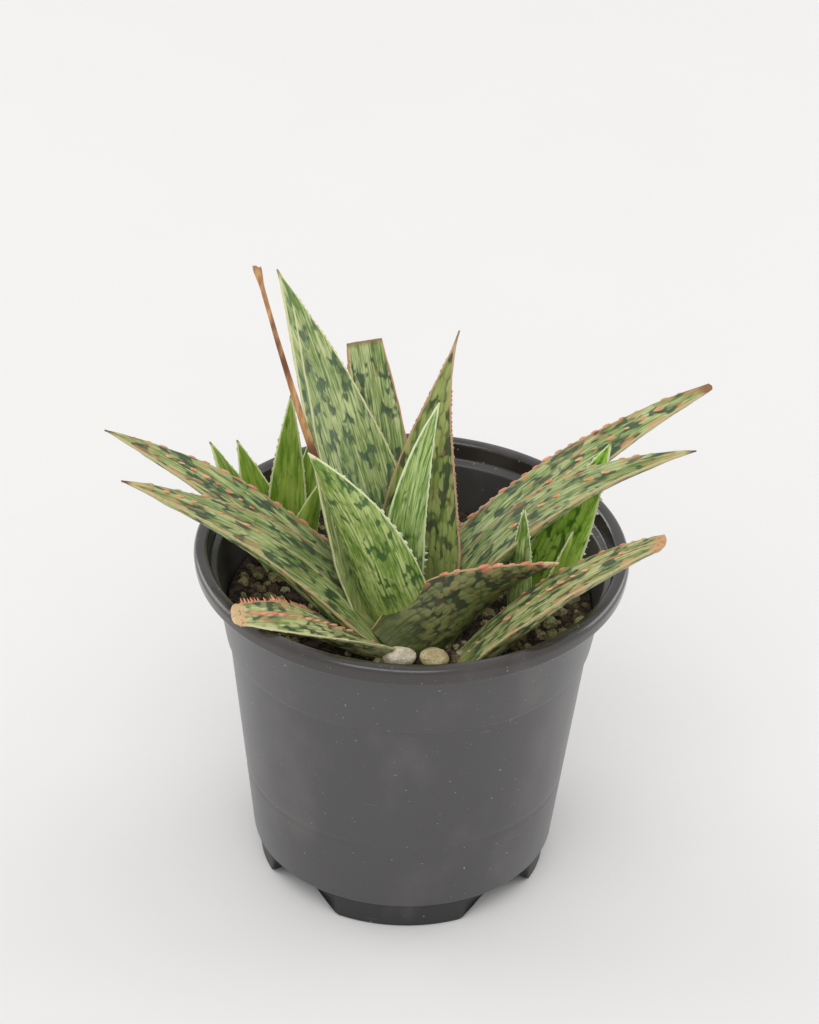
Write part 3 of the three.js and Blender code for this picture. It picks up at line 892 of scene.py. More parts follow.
@dataclass
class Pot:
    """The moulded nursery pot. Sizes are in millimetres."""

    height: float = 86.0
    lip_radius: float = 51.0
    lip_height: float = 4.4
    lip_inner_radius: float = 47.6
    band_top_radius: float = 46.6
    band_bottom_radius: float = 43.3
    band_bottom: float = 63.0
    body_top_radius: float = 42.6
    body_bottom_radius: float = 36.2
    foot_top: float = 7.3
    foot_top_radius: float = 35.2
    foot_bottom_radius: float = 34.4
    wall: float = 1.2
    floor_low: float = 6.6
    floor_thickness: float = 1.4
    drain_radius: float = 4.5
    drain_circle: float = 25.0
    notch_height: float = 6.1
    notch_bottom_half: float = 20.0
    notch_top_half: float = 9.0
    feet: int = 4
    segments: int = 288

    def profile(self) -> list:
        """The pot's outline, from the underside of its floor out, up, over and down inside."""
        top = self.height
        lip = top - self.lip_height
        floor_top = self.floor_low + self.floor_thickness
        run = self.band_bottom - self.foot_top
        slope = (self.body_top_radius - self.body_bottom_radius) / run
        floor_radius = self.body_bottom_radius - self.wall - 0.8
        skirt = self.foot_bottom_radius - self.wall - 0.6
        outline = [(0, self.floor_low), (skirt, self.floor_low)]
        outline += [(skirt, 0), (self.foot_bottom_radius, 0)]
        outline.append((self.foot_top_radius, self.foot_top - 0.4))
        outline.append((self.body_bottom_radius, self.foot_top))
        for share in (0.32, 0.34, 0.36):
            groove = -0.09 if share == 0.34 else 0.0
            level = self.foot_top + share * run
            side = self.body_bottom_radius + slope * (level - self.foot_top)
            outline.append((side + groove, level))
        outline += [
            (self.body_top_radius, self.band_bottom - 0.5),
            (self.band_bottom_radius, self.band_bottom),
            (self.band_top_radius, lip - 0.2),
            (self.lip_radius - 0.6, lip),
            (self.lip_radius - 0.3, lip + 0.4),
            (self.lip_radius, top - 1.4),
            (self.lip_radius - 0.5, top - 0.3),
            (self.lip_radius - 1.4, top),
            (self.lip_inner_radius + 0.7, top),
            (self.lip_inner_radius, top - 0.6),
            (self.lip_inner_radius - 0.5, lip),
            (self.band_top_radius - self.wall, lip - 0.8),
            (self.band_bottom_radius - self.wall, self.band_bottom),
            (self.body_top_radius - self.wall, self.band_bottom - 0.6),
            (floor_radius + slope * (floor_top + 1 - self.foot_top), floor_top + 1),
            (floor_radius - 1, floor_top),
            (0, floor_top),
        ]
        return rounded(outline, 0.5)

    def notch(self, angle: np.ndarray) -> np.ndarray:
        """How high the skirt starts at each angle, in millimetres."""
        step = 2 * math.pi / self.feet
        off = np.abs(angle % step - step / 2)
        run = self.notch_bottom_half - self.notch_top_half
        share = (self.notch_bottom_half - np.degrees(off)) / run
        return np.clip(share, 0, 1) * self.notch_height

    def angles(self) -> np.ndarray:
        """The angles of the pot's segments, with the corners of the notches among them."""
        even = np.linspace(0, 2 * math.pi, self.segments, endpoint=False)
        step = 2 * math.pi / self.feet
        corners = [
            (foot + 0.5) * step + sign * math.radians(half)
            for foot in range(self.feet)
            for sign in (-1, 1)
            for half in (self.notch_bottom_half, self.notch_top_half)
        ]
        return np.unique(np.round(np.concatenate([even, np.mod(corners, 2 * math.pi)]), 6))

    def shell(self) -> bpy.types.Object:
        """Turns the profile round the axis, with notches between the feet."""
        outline = np.array(self.profile())
        angles = self.angles()
        ring = outline[1:-1]
        radius, level = ring[:, :1], np.repeat(ring[:, 1:], len(angles), 1)
        low = self.notch(angles)[None, :]
        skirt = radius > self.foot_bottom_radius - self.wall - 2.2
        level = np.where(skirt, np.maximum(level, low), level)
        points = np.stack([radius * np.cos(angles), radius * np.sin(angles), level], -1)
        count = points.shape[0] * points.shape[1]
        ends = [(0, 0, outline[0, 1]), (0, 0, outline[-1, 1])]
        faces = capped(len(ring), len(angles), count, count + 1)
        shell = bmesh.new()
        places = np.vstack([points.reshape(-1, 3), ends])
        pot = solid("pot_shell", places, faces, [PotFinish().made()], 40.0)
        shell.from_mesh(pot.data)
        bmesh.ops.remove_doubles(shell, verts=shell.verts, dist=0.00001)
        bmesh.ops.dissolve_degenerate(shell, edges=shell.edges, dist=0.000005)
        bmesh.ops.recalc_face_normals(shell, faces=shell.faces)
        shell.to_mesh(pot.data)
        shell.free()
        return pot

    def drill(self, pot: bpy.types.Object) -> None:
        """Cuts the drain holes through the floor.

        Args:
            pot: The pot's shell.
        """
        cutter = bmesh.new()
        for hole in range(self.feet):
            angle = (hole + 0.5) * 2 * math.pi / self.feet
            x = self.drain_circle * math.cos(angle)
            y = self.drain_circle * math.sin(angle)
            place = Matrix.Translation(Vector((x, y, self.floor_low)) * MM + Vector(POT_AXIS))
            radius = self.drain_radius * MM
            sizes = {"radius1": radius, "radius2": radius, "depth": 6 * MM}
            bmesh.ops.create_cone(cutter, cap_ends=True, segments=48, matrix=place, **sizes)
        mesh = bpy.data.meshes.new("drain_cutter")
        cutter.to_mesh(mesh)
        cutter.free()
        drill = put("drain_cutter", mesh)
        cut = pot.modifiers.new("drains", "BOOLEAN")
        cut.operation = "DIFFERENCE"
        cut.solver = "EXACT"
        cut.object = drill
        settle(pot)
        bpy.data.objects.remove(drill)

    def build(self) -> None:
        """Makes the pot."""
        pot = self.shell()
        self.drill(pot)
        pot.data.set_sharp_from_angle(angle=math.radians(40))
        show(pot, "pot", "pot_plastic")


@dataclass(frozen=True)
class SoilFinish:
    """Dark peat with olive, tan and pale mineral grains."""

    name: str
    grain: bool
    dark: Colour = srgb(46, 38, 34)
    brown: Colour = srgb(86, 72, 60)
    stain: Colour = srgb(36, 30, 24)
    tones: tuple[tuple[float, Colour], ...] = (
        (0.0, srgb(52, 44, 38)),
        (0.38, srgb(100, 86, 70)),
        (0.6, srgb(150, 138, 102)),
        (0.78, srgb(186, 182, 130)),
        (0.93, srgb(208, 196, 156)),
        (1.0, srgb(210, 202, 176)),
    )

    def made(self) -> Material:
        """Builds the material.

        Returns:
            The material; grains take their tone from the number each carries.
        """
        skin = Skin(self.name, 0.2)
        cloud = skin.cloud(0.6, 0.6, 0.6, 4.0)
        fine = skin.cloud(2.6, 2.6, 2.6, 3.0)
        if self.grain:
            tone = skin.add("ShaderNodeValToRGB", {0: skin.split(skin.attribute("tone"))[0]})
            stops = tone.color_ramp.elements
            while len(stops) < len(self.tones):
                stops.new(0.5)
            for stop, (place, colour) in zip(stops, self.tones):
                stop.position, stop.color = place, colour
            colour = skin.mix(skin.rise(fine, 0.62, 0.3) * 0.7, tone.outputs[0], self.stain)
        else:
            colour = skin.mix(skin.rise(cloud, 0.4, 0.65), self.dark, self.brown)
        return skin.done(colour, 0.92, cloud + fine * 0.5, 0.35)


def grain_tree() -> Tree:
    """Builds the tree that strews grains over the top of the soil.

    Returns:
        The tree, which takes the grains' sizes, seed and finish.
    """
    sizes = dict.fromkeys(("Apart", "Smallest", "Largest"), "Float")
    tree = Tree("soil_grains", **sizes, Seed="Int", Grain="Material")
    entry = tree.entry
    inputs = {
        "Mesh": entry["Base"],
        "Selection": tree.math("GREATER_THAN", tree.named("top", "FLOAT"), 0.5),
        "Distance Min": entry["Apart"],
        "Density Max": GRAINS_PER_SQUARE_METRE,
        "Seed": entry["Seed"],
    }
    strewn = tree.out("GeometryNodeDistributePointsOnFaces", inputs, distribute_method="POISSON")
    kinds = tree.add("GeometryNodeGeometryToInstance")
    for number in range(GRAIN_KINDS):
        place = tree.out("GeometryNodeInputPosition")
        moved = tree.vector("ADD", place, (number * 7.3, number * 3.1, 0.0))
        inputs = {"Vector": moved, "Scale": 1.9, "Detail": 1.0}
        lump = tree.out("ShaderNodeTexNoise", inputs, "Color")
        dent = tree.scale(tree.vector("SUBTRACT", lump, (0.5, 0.5, 0.5)), 0.95)
        ball = tree.out("GeometryNodeMeshIcoSphere", {"Radius": 0.5, "Subdivisions": 2})
        grain = tree.out("GeometryNodeSetPosition", {"Geometry": ball, "Offset": dent})
        tree.feed(kinds.inputs[0], grain)
    inputs = {"Max": (math.tau, math.tau, math.tau), "Seed": entry["Seed"]}
    spin = tree.out("FunctionNodeRandomValue", inputs, data_type="FLOAT_VECTOR")
    size = tree.draw(3.0, 0.0, 1.0)
    span = tree.math("SUBTRACT", entry["Largest"], entry["Smallest"])
    inputs = {
        "Points": strewn,
        "Instance": kinds.outputs[0],
        "Pick Instance": True,
        "Rotation": spin,
        "Scale": tree.math("POWER", size, 2.2) * span + entry["Smallest"],
    }
    placed = tree.out("GeometryNodeInstanceOnPoints", inputs)
    lighter = tree.draw(11.0, 0.0, 1.0) * 0.75 + size * 0.25
    inputs = {"Geometry": placed, "Name": "tone", "Value": tree.join(lighter, 1.0, 0.0)}
    kind = {"data_type": "FLOAT_VECTOR", "domain": "INSTANCE"}
    toned = tree.out("GeometryNodeStoreNamedAttribute", inputs, **kind)
    marks = tree.split(tree.named("tone", "FLOAT_VECTOR"))
    tree.dress(toned, tree.math("GREATER_THAN", marks[1], 0.5), entry["Grain"])
    return tree


@dataclass
class Soil:
    """The potting mix that fills the pot, with grains on its top. Sizes are in millimetres."""

    top: float = 70.0
    edge: float = 42.9
    strewn_to: float = 41.9
    rings: int = 46
    segments: int = 150
    apart: float = 1.75
    smallest: float = 1.3
    largest: float = 3.6
    seed: int = 11
    wall: tuple = ((33.2, 8.5), (34.0, 10.2), (40.9, 62.0), (41.6, 63.2))

    def build(self) -> None:
        """Makes the soil."""
        ring_radius = [radius for radius, _ in self.wall]
        ring_radius += list(np.linspace(self.edge, self.edge / self.rings, self.rings))
        radius = np.array(ring_radius)[:, None]
        angles = np.linspace(0, 2 * math.pi, self.segments, endpoint=False)[None, :]
        x, y = radius * np.cos(angles), radius * np.sin(angles)
        swell, lumps = ripple(3, 7, 0.05, x, y), ripple(4, 7, 0.16, x, y)
        level = self.top - 0.3 + 0.75 * swell + 0.35 * lumps
        for ring, (_, height) in enumerate(self.wall):
            level[ring] = height
        points = np.stack([x, y, level], -1).reshape(-1, 3)
        points = np.vstack([points, [(0, 0, 8.5), (0, 0, self.top)]])
        count = len(points) - 2
        faces = capped(len(radius), self.segments, count, count + 1)
        grain = SoilFinish("mineral_grain", True).made()
        finishes = [SoilFinish("peat", False).made(), grain]
        soil = solid("soil_mix", points, faces, finishes, 60.0)
        strewn = (points[:, 2] > 66.0) & (np.hypot(points[:, 0], points[:, 1]) < self.strewn_to)
        carry(soil.data, "top", "FLOAT", strewn.astype(np.float32))
        sizes = {"Apart": self.apart, "Smallest": self.smallest, "Largest": self.largest}
        values = {name: size * MM for name, size in sizes.items()}
        feed_modifier(soil, grain_tree(), values | {"Seed": self.seed, "Grain": grain})
        settle(soil)
        show(soil, "soil", "potting_mix")


@dataclass(frozen=True)
class PumiceFinish:
    """Pale pumice with darker pores."""

    name: str
    pale: Colour
    deep: Colour
    pore: Colour = srgb(96, 82, 60)

    def made(self) -> Material:
        """Builds the material.

        Returns:
            The material, patterned on the object's coordinates.
        """
        skin = Skin(self.name, 0.2)
        cloud = skin.cloud(0.45, 0.45, 0.45, 4.0)
        pores = skin.cloud(1.9, 1.9, 1.9, 3.0)
        colour = skin.mix(skin.rise(cloud, 0.38, 0.62), self.deep, self.pale)
        colour = skin.mix(skin.rise(pores, 0.44, 0.3) * 0.6, colour, self.pore)
        return skin.done(colour, 0.9, pores + cloud, 0.3)


@dataclass
class Pebble:
    """A pumice pebble on the soil. Sizes are in millimetres."""

    node: str
    at: tuple[float, float]
    size: Point
    turn: float
    seed: int
    finish: PumiceFinish
    level: float = 70.0

    def build(self) -> None:
        """Makes the pebble."""
        ball = bmesh.new()
        bmesh.ops.create_icosphere(ball, subdivisions=6, radius=0.5)
        ball.verts.ensure_lookup_table()
        points = np.array([vertex.co for vertex in ball.verts])
        faces = [[vertex.index for vertex in face.verts] for face in ball.faces]
        ball.free()
        x, y, z = points.T * 2
        lumps = 0.075 * ripple(self.seed, 6, 0.32, x, y, z)
        lumps = lumps + 0.03 * ripple(self.seed + 1, 8, 0.9, x, y, z)
        pits = smooth(0.55, 1.1, ripple(self.seed + 2, 12, 2.6, x, y, z))
        points = points * (1 + lumps - 0.07 * pits)[:, None] * np.array(self.size)
        turn = math.radians(self.turn)
        cos, sin = math.cos(turn), math.sin(turn)
        spin = np.array([[cos, -sin, 0], [sin, cos, 0], [0, 0, 1]])
        points = points @ spin.T + np.array([*self.at, self.level + 0.42 * self.size[2]])
        pebble = solid(f"{self.node}_stone", points, faces, [self.finish.made()], 180.0)
        slot = "pumice_white" if "white" in self.node else "pumice_cream"
        show(pebble, self.node, slot)


@dataclass(frozen=True)
class FibreFinish:
    """Dry or green plant fibre, streaked along one axis."""

    name: str
    light: Colour
    middle: Colour
    deep: Colour
    stretch: Point = (0.9, 0.9, 0.12)

    def made(self) -> Material:
        """Builds the material.

        Returns:
            The material, streaked on the object's coordinates.
        """
        skin = Skin(self.name, 0.35)
        streak = skin.cloud(*self.stretch, 3.0)
        cloud = skin.cloud(0.09, 0.09, 0.06)
        colour = skin.mix(skin.rise(streak, 0.42, 0.62), self.middle, self.light)
        colour = skin.mix(skin.rise(cloud, 0.48, 0.62), colour, self.deep)
        colour = skin.mix(skin.rise(streak, 0.42, 0.3) * 0.7, colour, self.deep)
        return skin.done(colour, 0.68, streak, 0.15)


DRY = FibreFinish("dry_stalk", srgb(200, 158, 108), srgb(172, 126, 80), srgb(112, 70, 50))
BARK = FibreFinish("stem_skin", srgb(176, 168, 110), srgb(140, 132, 78), srgb(104, 84, 52))


@dataclass
class Stem:
    """A short ringed trunk with roots in the soil. Sizes are in millimetres."""

    node: str
    at: tuple[float, float]
    bottom: float
    top: float
    radius: float
    top_radius: float
    roots: int
    root_length: float
    sides: int = 48
    steps: int = 40

    def trunk(self) -> tuple[np.ndarray, list]:
        """The trunk's points and faces."""
        height = self.top - self.bottom
        levels = [0.0, 0.2, 0.55, 1.0]
        widths = [0.8 * self.radius, self.radius, self.radius, self.top_radius]
        share = np.linspace(0, 1, self.steps)
        radius = np.interp(share, levels, widths)[:, None]
        angles = np.linspace(0, 2 * math.pi, self.sides, endpoint=False)[None, :]
        radius = radius * (1 - 0.03 * (np.sin(share * height * 2.2)[:, None] > 0.6))
        x = self.at[0] + radius * np.cos(angles)
        y = self.at[1] + radius * np.sin(angles)
        z = np.repeat((self.bottom + share * height)[:, None], self.sides, 1)
        points = np.stack([x, y, z], -1).reshape(-1, 3)
        count = len(points)
        ends = [(*self.at, self.bottom), (*self.at, self.top)]
        return np.vstack([points, ends]), capped(self.steps, self.sides, count, count + 1)

    def build(self, finish: Material) -> None:
        """Makes the stem.

        Args:
            finish: The stem's material.
        """
        points, faces = self.trunk()
        spread, girth = self.radius * 0.48, self.radius * 0.2
        for root in range(self.roots):
            angle = root / self.roots * 2 * math.pi
            share = np.linspace(0, 1, 16)
            x = self.at[0] + spread * math.cos(angle) + 0.2 * np.sin(share * 9 + root)
            y = self.at[1] + spread * math.sin(angle) + 0.2 * np.cos(share * 7 + root)
            z = self.bottom + 2 - share * (self.root_length + 2)
            line = np.stack([x, y, z], -1)
            strand, strand_faces = swept(line, girth - (girth - 0.5) * share, 10)
            faces += [[corner + len(points) for corner in face] for face in strand_faces]
            points = np.vstack([points, strand])
        stem = solid(f"{self.node}_trunk", points, faces, [finish], 40.0)
        show(stem, self.node, "stem_skin")


def swept(line: np.ndarray, radius: np.ndarray, sides: int) -> tuple[np.ndarray, list]:
    """Sweeps a round section along a line.

    Args:
        line: The line's points.
        radius: The radius at each point, or at each point and side.
        sides: How many sides the section has.

    Returns:
        The tube's points and its faces, closed at both ends.
    """
    along = unit(np.gradient(line, axis=0))
    first = unit(np.cross(np.array([0.0, 1.0, 0.0]), along))
    second = np.cross(along, first)
    angles = np.linspace(0, 2 * math.pi, sides, endpoint=False)
    reach = np.asarray(radius, float)
    reach = np.repeat(reach[:, None], sides, 1) if reach.ndim == 1 else reach
    flat = first[:, None] * np.cos(angles)[:, None] + second[:, None] * np.sin(angles)[:, None]
    points = (line[:, None] + flat * reach[:, :, None]).reshape(-1, 3)
    count = len(points)
    return np.vstack([points, line[:1], line[-1:]]), capped(len(line), sides, count, count + 1)


@dataclass
class Stalk:
    """The dry flower stalk. Sizes are in millimetres."""

    at: Point = (-8.0, -10.0, 73.0)
    tip: Point = (-37.0, 2.0, 158.0)
    bend: Point = (-1.0, -2.5, 0.0)
    radius: float = 0.68
    flare: float = 1.1
    sides: int = 28
    steps: int = 150

    def build(self) -> None:
        """Makes the stalk, ribbed, slightly flat and broken off at its top."""
        root, tip, bend = (np.array(place) for place in (self.at, self.tip, self.bend))
        control = (root + tip) / 2 + 2 * bend
        share = np.linspace(0, 1, self.steps)[:, None]
        line = bent(root, control, tip, share)
        angles = np.linspace(0, 2 * math.pi, self.sides, endpoint=False)[None, :]
        radius = self.radius * (1.25 - 0.55 * smooth(0.35, 0.93, share))
        radius = radius + (self.flare - self.radius) * smooth(0.94, 1.0, share)
        ribs = 1 + 0.07 * np.cos(angles * 5 + 3 * share)
        ribs = ribs + 0.05 * ripple(5, 6, 1.6, share * 6, angles)
        flatter = 1 + 0.12 * np.cos(2 * angles)
        points, faces = swept(line, radius * ribs * flatter, self.sides)
        top = (self.steps - 1) * self.sides
        points[top : top + self.sides, 2] += 0.5 * ripple(9, 6, 0.5, angles[0])
        points[-1, 2] -= 1.2
        stalk = solid("dry_flower_stalk", points, faces, [DRY.made()], 50.0)
        show(stalk, "flower_stalk", "dry_stalk")


@dataclass
class Leaf:
    """A succulent leaf: a bent midline with a channelled face, a rounded back and toothed rims.

    Sizes are in millimetres. Facing is the compass side that the back looks to, in degrees
    from +X, and the leading edge is the one on the side a quarter turn on from it.
    """

    node: str
    at: Point
    tip: Point
    facing: float
    width: float
    thick: float
    full: float
    finish: LeafFinish
    bow: float = 0.0
    sway: float = 0.0
    cut: float = 0.0
    taper: float = 0.9
    fringes: list[Fringe] = field(default_factory=list)
    relief: float = 0.09
    wave: float = 0.22
    turn: float = 0.0
    roll: float = 0.0
    channel: float = 0.18
    ridge: float = 0.0
    knob: float = 0.0
    step_along: float = 0.8
    step_across: float = 0.5

    def seed(self) -> int:
        """A number of the leaf's own, from its name."""
        return sum((place + 1) * ord(letter) for place, letter in enumerate(self.node))

    def axes(self) -> tuple[np.ndarray, ...]:
        """The midline at each station, with the directions along, sideways and up from it."""
        root, tip = np.array(self.at), np.array(self.tip)
        facing = math.radians(self.facing)
        level = np.array([-math.sin(facing), math.cos(facing), 0.0])
        chord = unit(tip - root)
        across = unit(level - level.dot(chord) * chord)
        above = np.cross(chord, across)
        control = (root + tip) / 2 + 2 * self.bow * above + 2 * self.sway * across
        count = max(20, round(np.linalg.norm(tip - root) / self.step_along))
        share = np.linspace(0, 1, count + 1)[:, None]
        centre = bent(root, control, tip, share)
        along = unit(2 * (1 - share) * (control - root) + 2 * share * (tip - control))
        flat = unit(level - (along @ level)[:, None] * along)
        turn = np.radians(self.turn + self.roll * share)
        sideways = flat * np.cos(turn) + np.cross(along, flat) * np.sin(turn)
        return share, centre, along, sideways, np.cross(along, sideways)

    def half_width(self, share: np.ndarray) -> np.ndarray:
        """Half of the leaf's width at a share of its length."""
        left = 1 - share * (1 - self.cut)
        taper = np.sin(math.pi / 2 * np.minimum(1, left / self.full)) ** self.taper
        return np.maximum(0.1, self.width / 2 * taper * (0.8 + 0.2 * smooth(0, 0.2, share)))

    def depth(self, share: np.ndarray) -> np.ndarray:
        """How far the back stands under the face at a share of the length."""
        left = 1 - share * (1 - self.cut)
        root = 0.5 + 0.5 * smooth(0, 0.3, share)
        thinner = root * (0.15 + 0.85 * left) * np.minimum(1, 0.15 + 6 * left)
        return np.maximum(0.2, self.thick * thinner)

    def section(self) -> tuple[np.ndarray, int]:
        """Places across the leaf, once over its face and once back under it."""
        half = max(5, round(self.width / self.step_across / 2))
        over = np.cos(np.linspace(0, math.pi, 2 * half + 1))
        under = np.cos(np.linspace(math.pi, 2 * math.pi, 2 * half + 1))[1:-1]
        return np.concatenate([over, under])[None, :], 2 * half

    def surface(self) -> np.ndarray:
        """The leaf's skin before its relief: a point for each station and place round it."""
        share, centre, _along, sideways, upward = self.axes()
        across, turn = self.section()
        under = np.arange(across.shape[1])[None, :] > turn
        half, depth = self.half_width(share), self.depth(share)
        seed, mm_along = self.seed(), share * self.length()
        wander = ripple(seed, 5, 0.035, mm_along + 0 * across) * smooth(0.1, 0.3, share)
        half = half * (1 + 0.035 * wander)
        lumps = 1 + 1.6 * ripple(seed + 2, 8, 0.9, across * 2, share * 40)
        swell = self.knob * np.exp(-(((share - 0.97) / 0.03) ** 2)) * lumps
        half, depth = half * (1 + swell), depth * (1 + 2 * swell)
        bend = self.wave * ripple(seed + 1, 6, 0.03, mm_along, across * half)
        channel = self.channel * (1 - 0.5 * share) * half * across**2
        sag = depth * np.clip(1 - np.abs(across) ** 2.2, 0, 1) ** 0.75
        plump = 0.3 * np.clip(1 - across**8, 0, 1) * np.minimum(1, half / 1.5)
        crest = self.ridge * np.exp(-((across * half / 1.1) ** 2))
        crest = crest * smooth(0, 0.2, share) * smooth(1, 0.8, share)
        rise = channel + bend * np.minimum(1, half / 3) + np.where(under, -sag, plump + crest)
        place = centre[:, None] + sideways[:, None] * (across * half)[:, :, None]
        return place + upward[:, None] * rise[:, :, None]

    def length(self) -> float:
        """The straight distance from root to tip."""
        return float(np.linalg.norm(np.array(self.tip) - np.array(self.at)))

    def mesh(self, skin: Material) -> bpy.types.Object:
        """Builds the leaf's body with the places that its finish reads.

        Args:
            skin: The leaf's material.

        Returns:
            The body, without its relief and teeth.
        """
        share, centre, along, sideways, upward = self.axes()
        across, turn = self.section()
        sides, middle = across.shape[1], turn // 2
        under = np.arange(sides)[None, :] > turn
        place, length = self.surface(), self.length()
        step = np.linalg.norm(np.diff(place, axis=1, append=place[:, :1]), axis=2)
        gone = np.concatenate([np.zeros((len(step), 1)), np.cumsum(step, 1)], 1)
        over_middle, under_middle = gone[:, middle, None], gone[:, turn + middle, None]
        edge_over, edge_under = gone[:, turn, None], gone[:, sides, None]
        gone = gone[:, :sides]
        mm_across = np.where(under, gone - under_middle, over_middle - gone)
        from_rim = np.where(
            under,
            np.minimum(gone - edge_over, edge_under - gone),
            np.minimum(gone, edge_over - gone),
        )
        blade = np.stack([share * length + 0 * across, mm_across, under + 0 * share], -1)
        spot = np.stack([share + 0 * across, across + 0 * share, from_rim], -1)
        mark = np.zeros(place.shape[:2], int)
        for edge, column in zip(Edge, (0, turn, middle)):
            mark[:, column] = edge.value
        level = sideways[:, None] * np.sign(across)[:, :, None]
        out = np.where(under[:, :, None], -upward[:, None], level)
        out[:, middle] = upward
        out = unit(out + 0.25 * along[:, None])
        forward = np.repeat(along[:, None], sides, 1)

        count = place.shape[0] * sides
        dent = 0.35 * self.half_width(share[-1])[0] * (0.5 if self.cut > 0.1 else -1.0)
        points = np.vstack([place.reshape(-1, 3), centre[0], centre[-1] - along[-1] * dent])
        faces = capped(len(centre), sides, count, count + 1)
        body = solid(self.node + "_blade", points, faces, [skin], 70.0)
        ends = np.array([along[0], along[-1]])
        for name, rows, last in (
            ("blade", blade, [(0, 0, 0), (length, 0, 0)]),
            ("place", spot, [(0, 0, 3), (1, 0, 3)]),
            ("outward", out, ends),
            ("forward", forward, ends),
        ):
            carry(body.data, name, "FLOAT_VECTOR", np.vstack([rows.reshape(-1, 3), last]))
        carry(body.data, "share", "FLOAT", np.append((share + 0 * across).ravel(), [0, 1]))
        carry(body.data, "edge_mark", "INT", np.append(mark.ravel(), [0, 0]))
        return body

    def build(self, teeth: Tree) -> None:
        """Makes the leaf with its relief and teeth.

        Args:
            teeth: The tree that sets teeth.
        """
        shift = (self.seed() % 97) * 0.37
        finish = replace(self.finish, name=self.node + "_skin", shift=shift)
        body = self.mesh(finish.made())
        feed_modifier(body, relief_tree(finish.cell, shift), {"Height": self.relief * MM})
        for number, fringe in enumerate(self.fringes):
            feed_modifier(body, teeth, fringe.values(self.seed() + number))
        settle(body)
        for name in ("edge_mark", "outward", "forward", "share", "tooth_mark"):
            layer = body.data.attributes.get(name)
            if layer is not None:
                body.data.attributes.remove(layer)
        show(body, self.node, "young_leaf_skin" if "pup" in self.node else "leaf_skin")


MATURE = LeafFinish()
YOUNG = LeafFinish(
    pale=srgb(176, 194, 104),
    middle=srgb(140, 168, 56),
    fresh=srgb(112, 146, 36),
    dark=srgb(70, 100, 30),
    rim=srgb(206, 216, 160),
    cell=(6.0, 1.1),
    net=0.12,
    bands=0.4,
    cover=0.45,
    streaks=0.4,
    blushing=0.0,
    tip=srgb(120, 130, 60),
    tip_from=0.985,
    root_green=srgb(150, 168, 78),
)
PALE_YOUNG = replace(
    YOUNG,
    pale=srgb(200, 216, 150),
    middle=srgb(130, 162, 72),
    fresh=srgb(104, 142, 52),
    rim=srgb(216, 226, 180),
    streaks=0.85,
    bands=0.7,
)


def row(edge: Edge, finish: HornFinish, *sizes: float, sharp: bool = False) -> Fringe:
    """Writes a fringe in one line: its start, end, spacing, length and height."""
    return Fringe(edge, finish, *sizes, shape=ToothShape.SHARP if sharp else ToothShape.BLUNT)


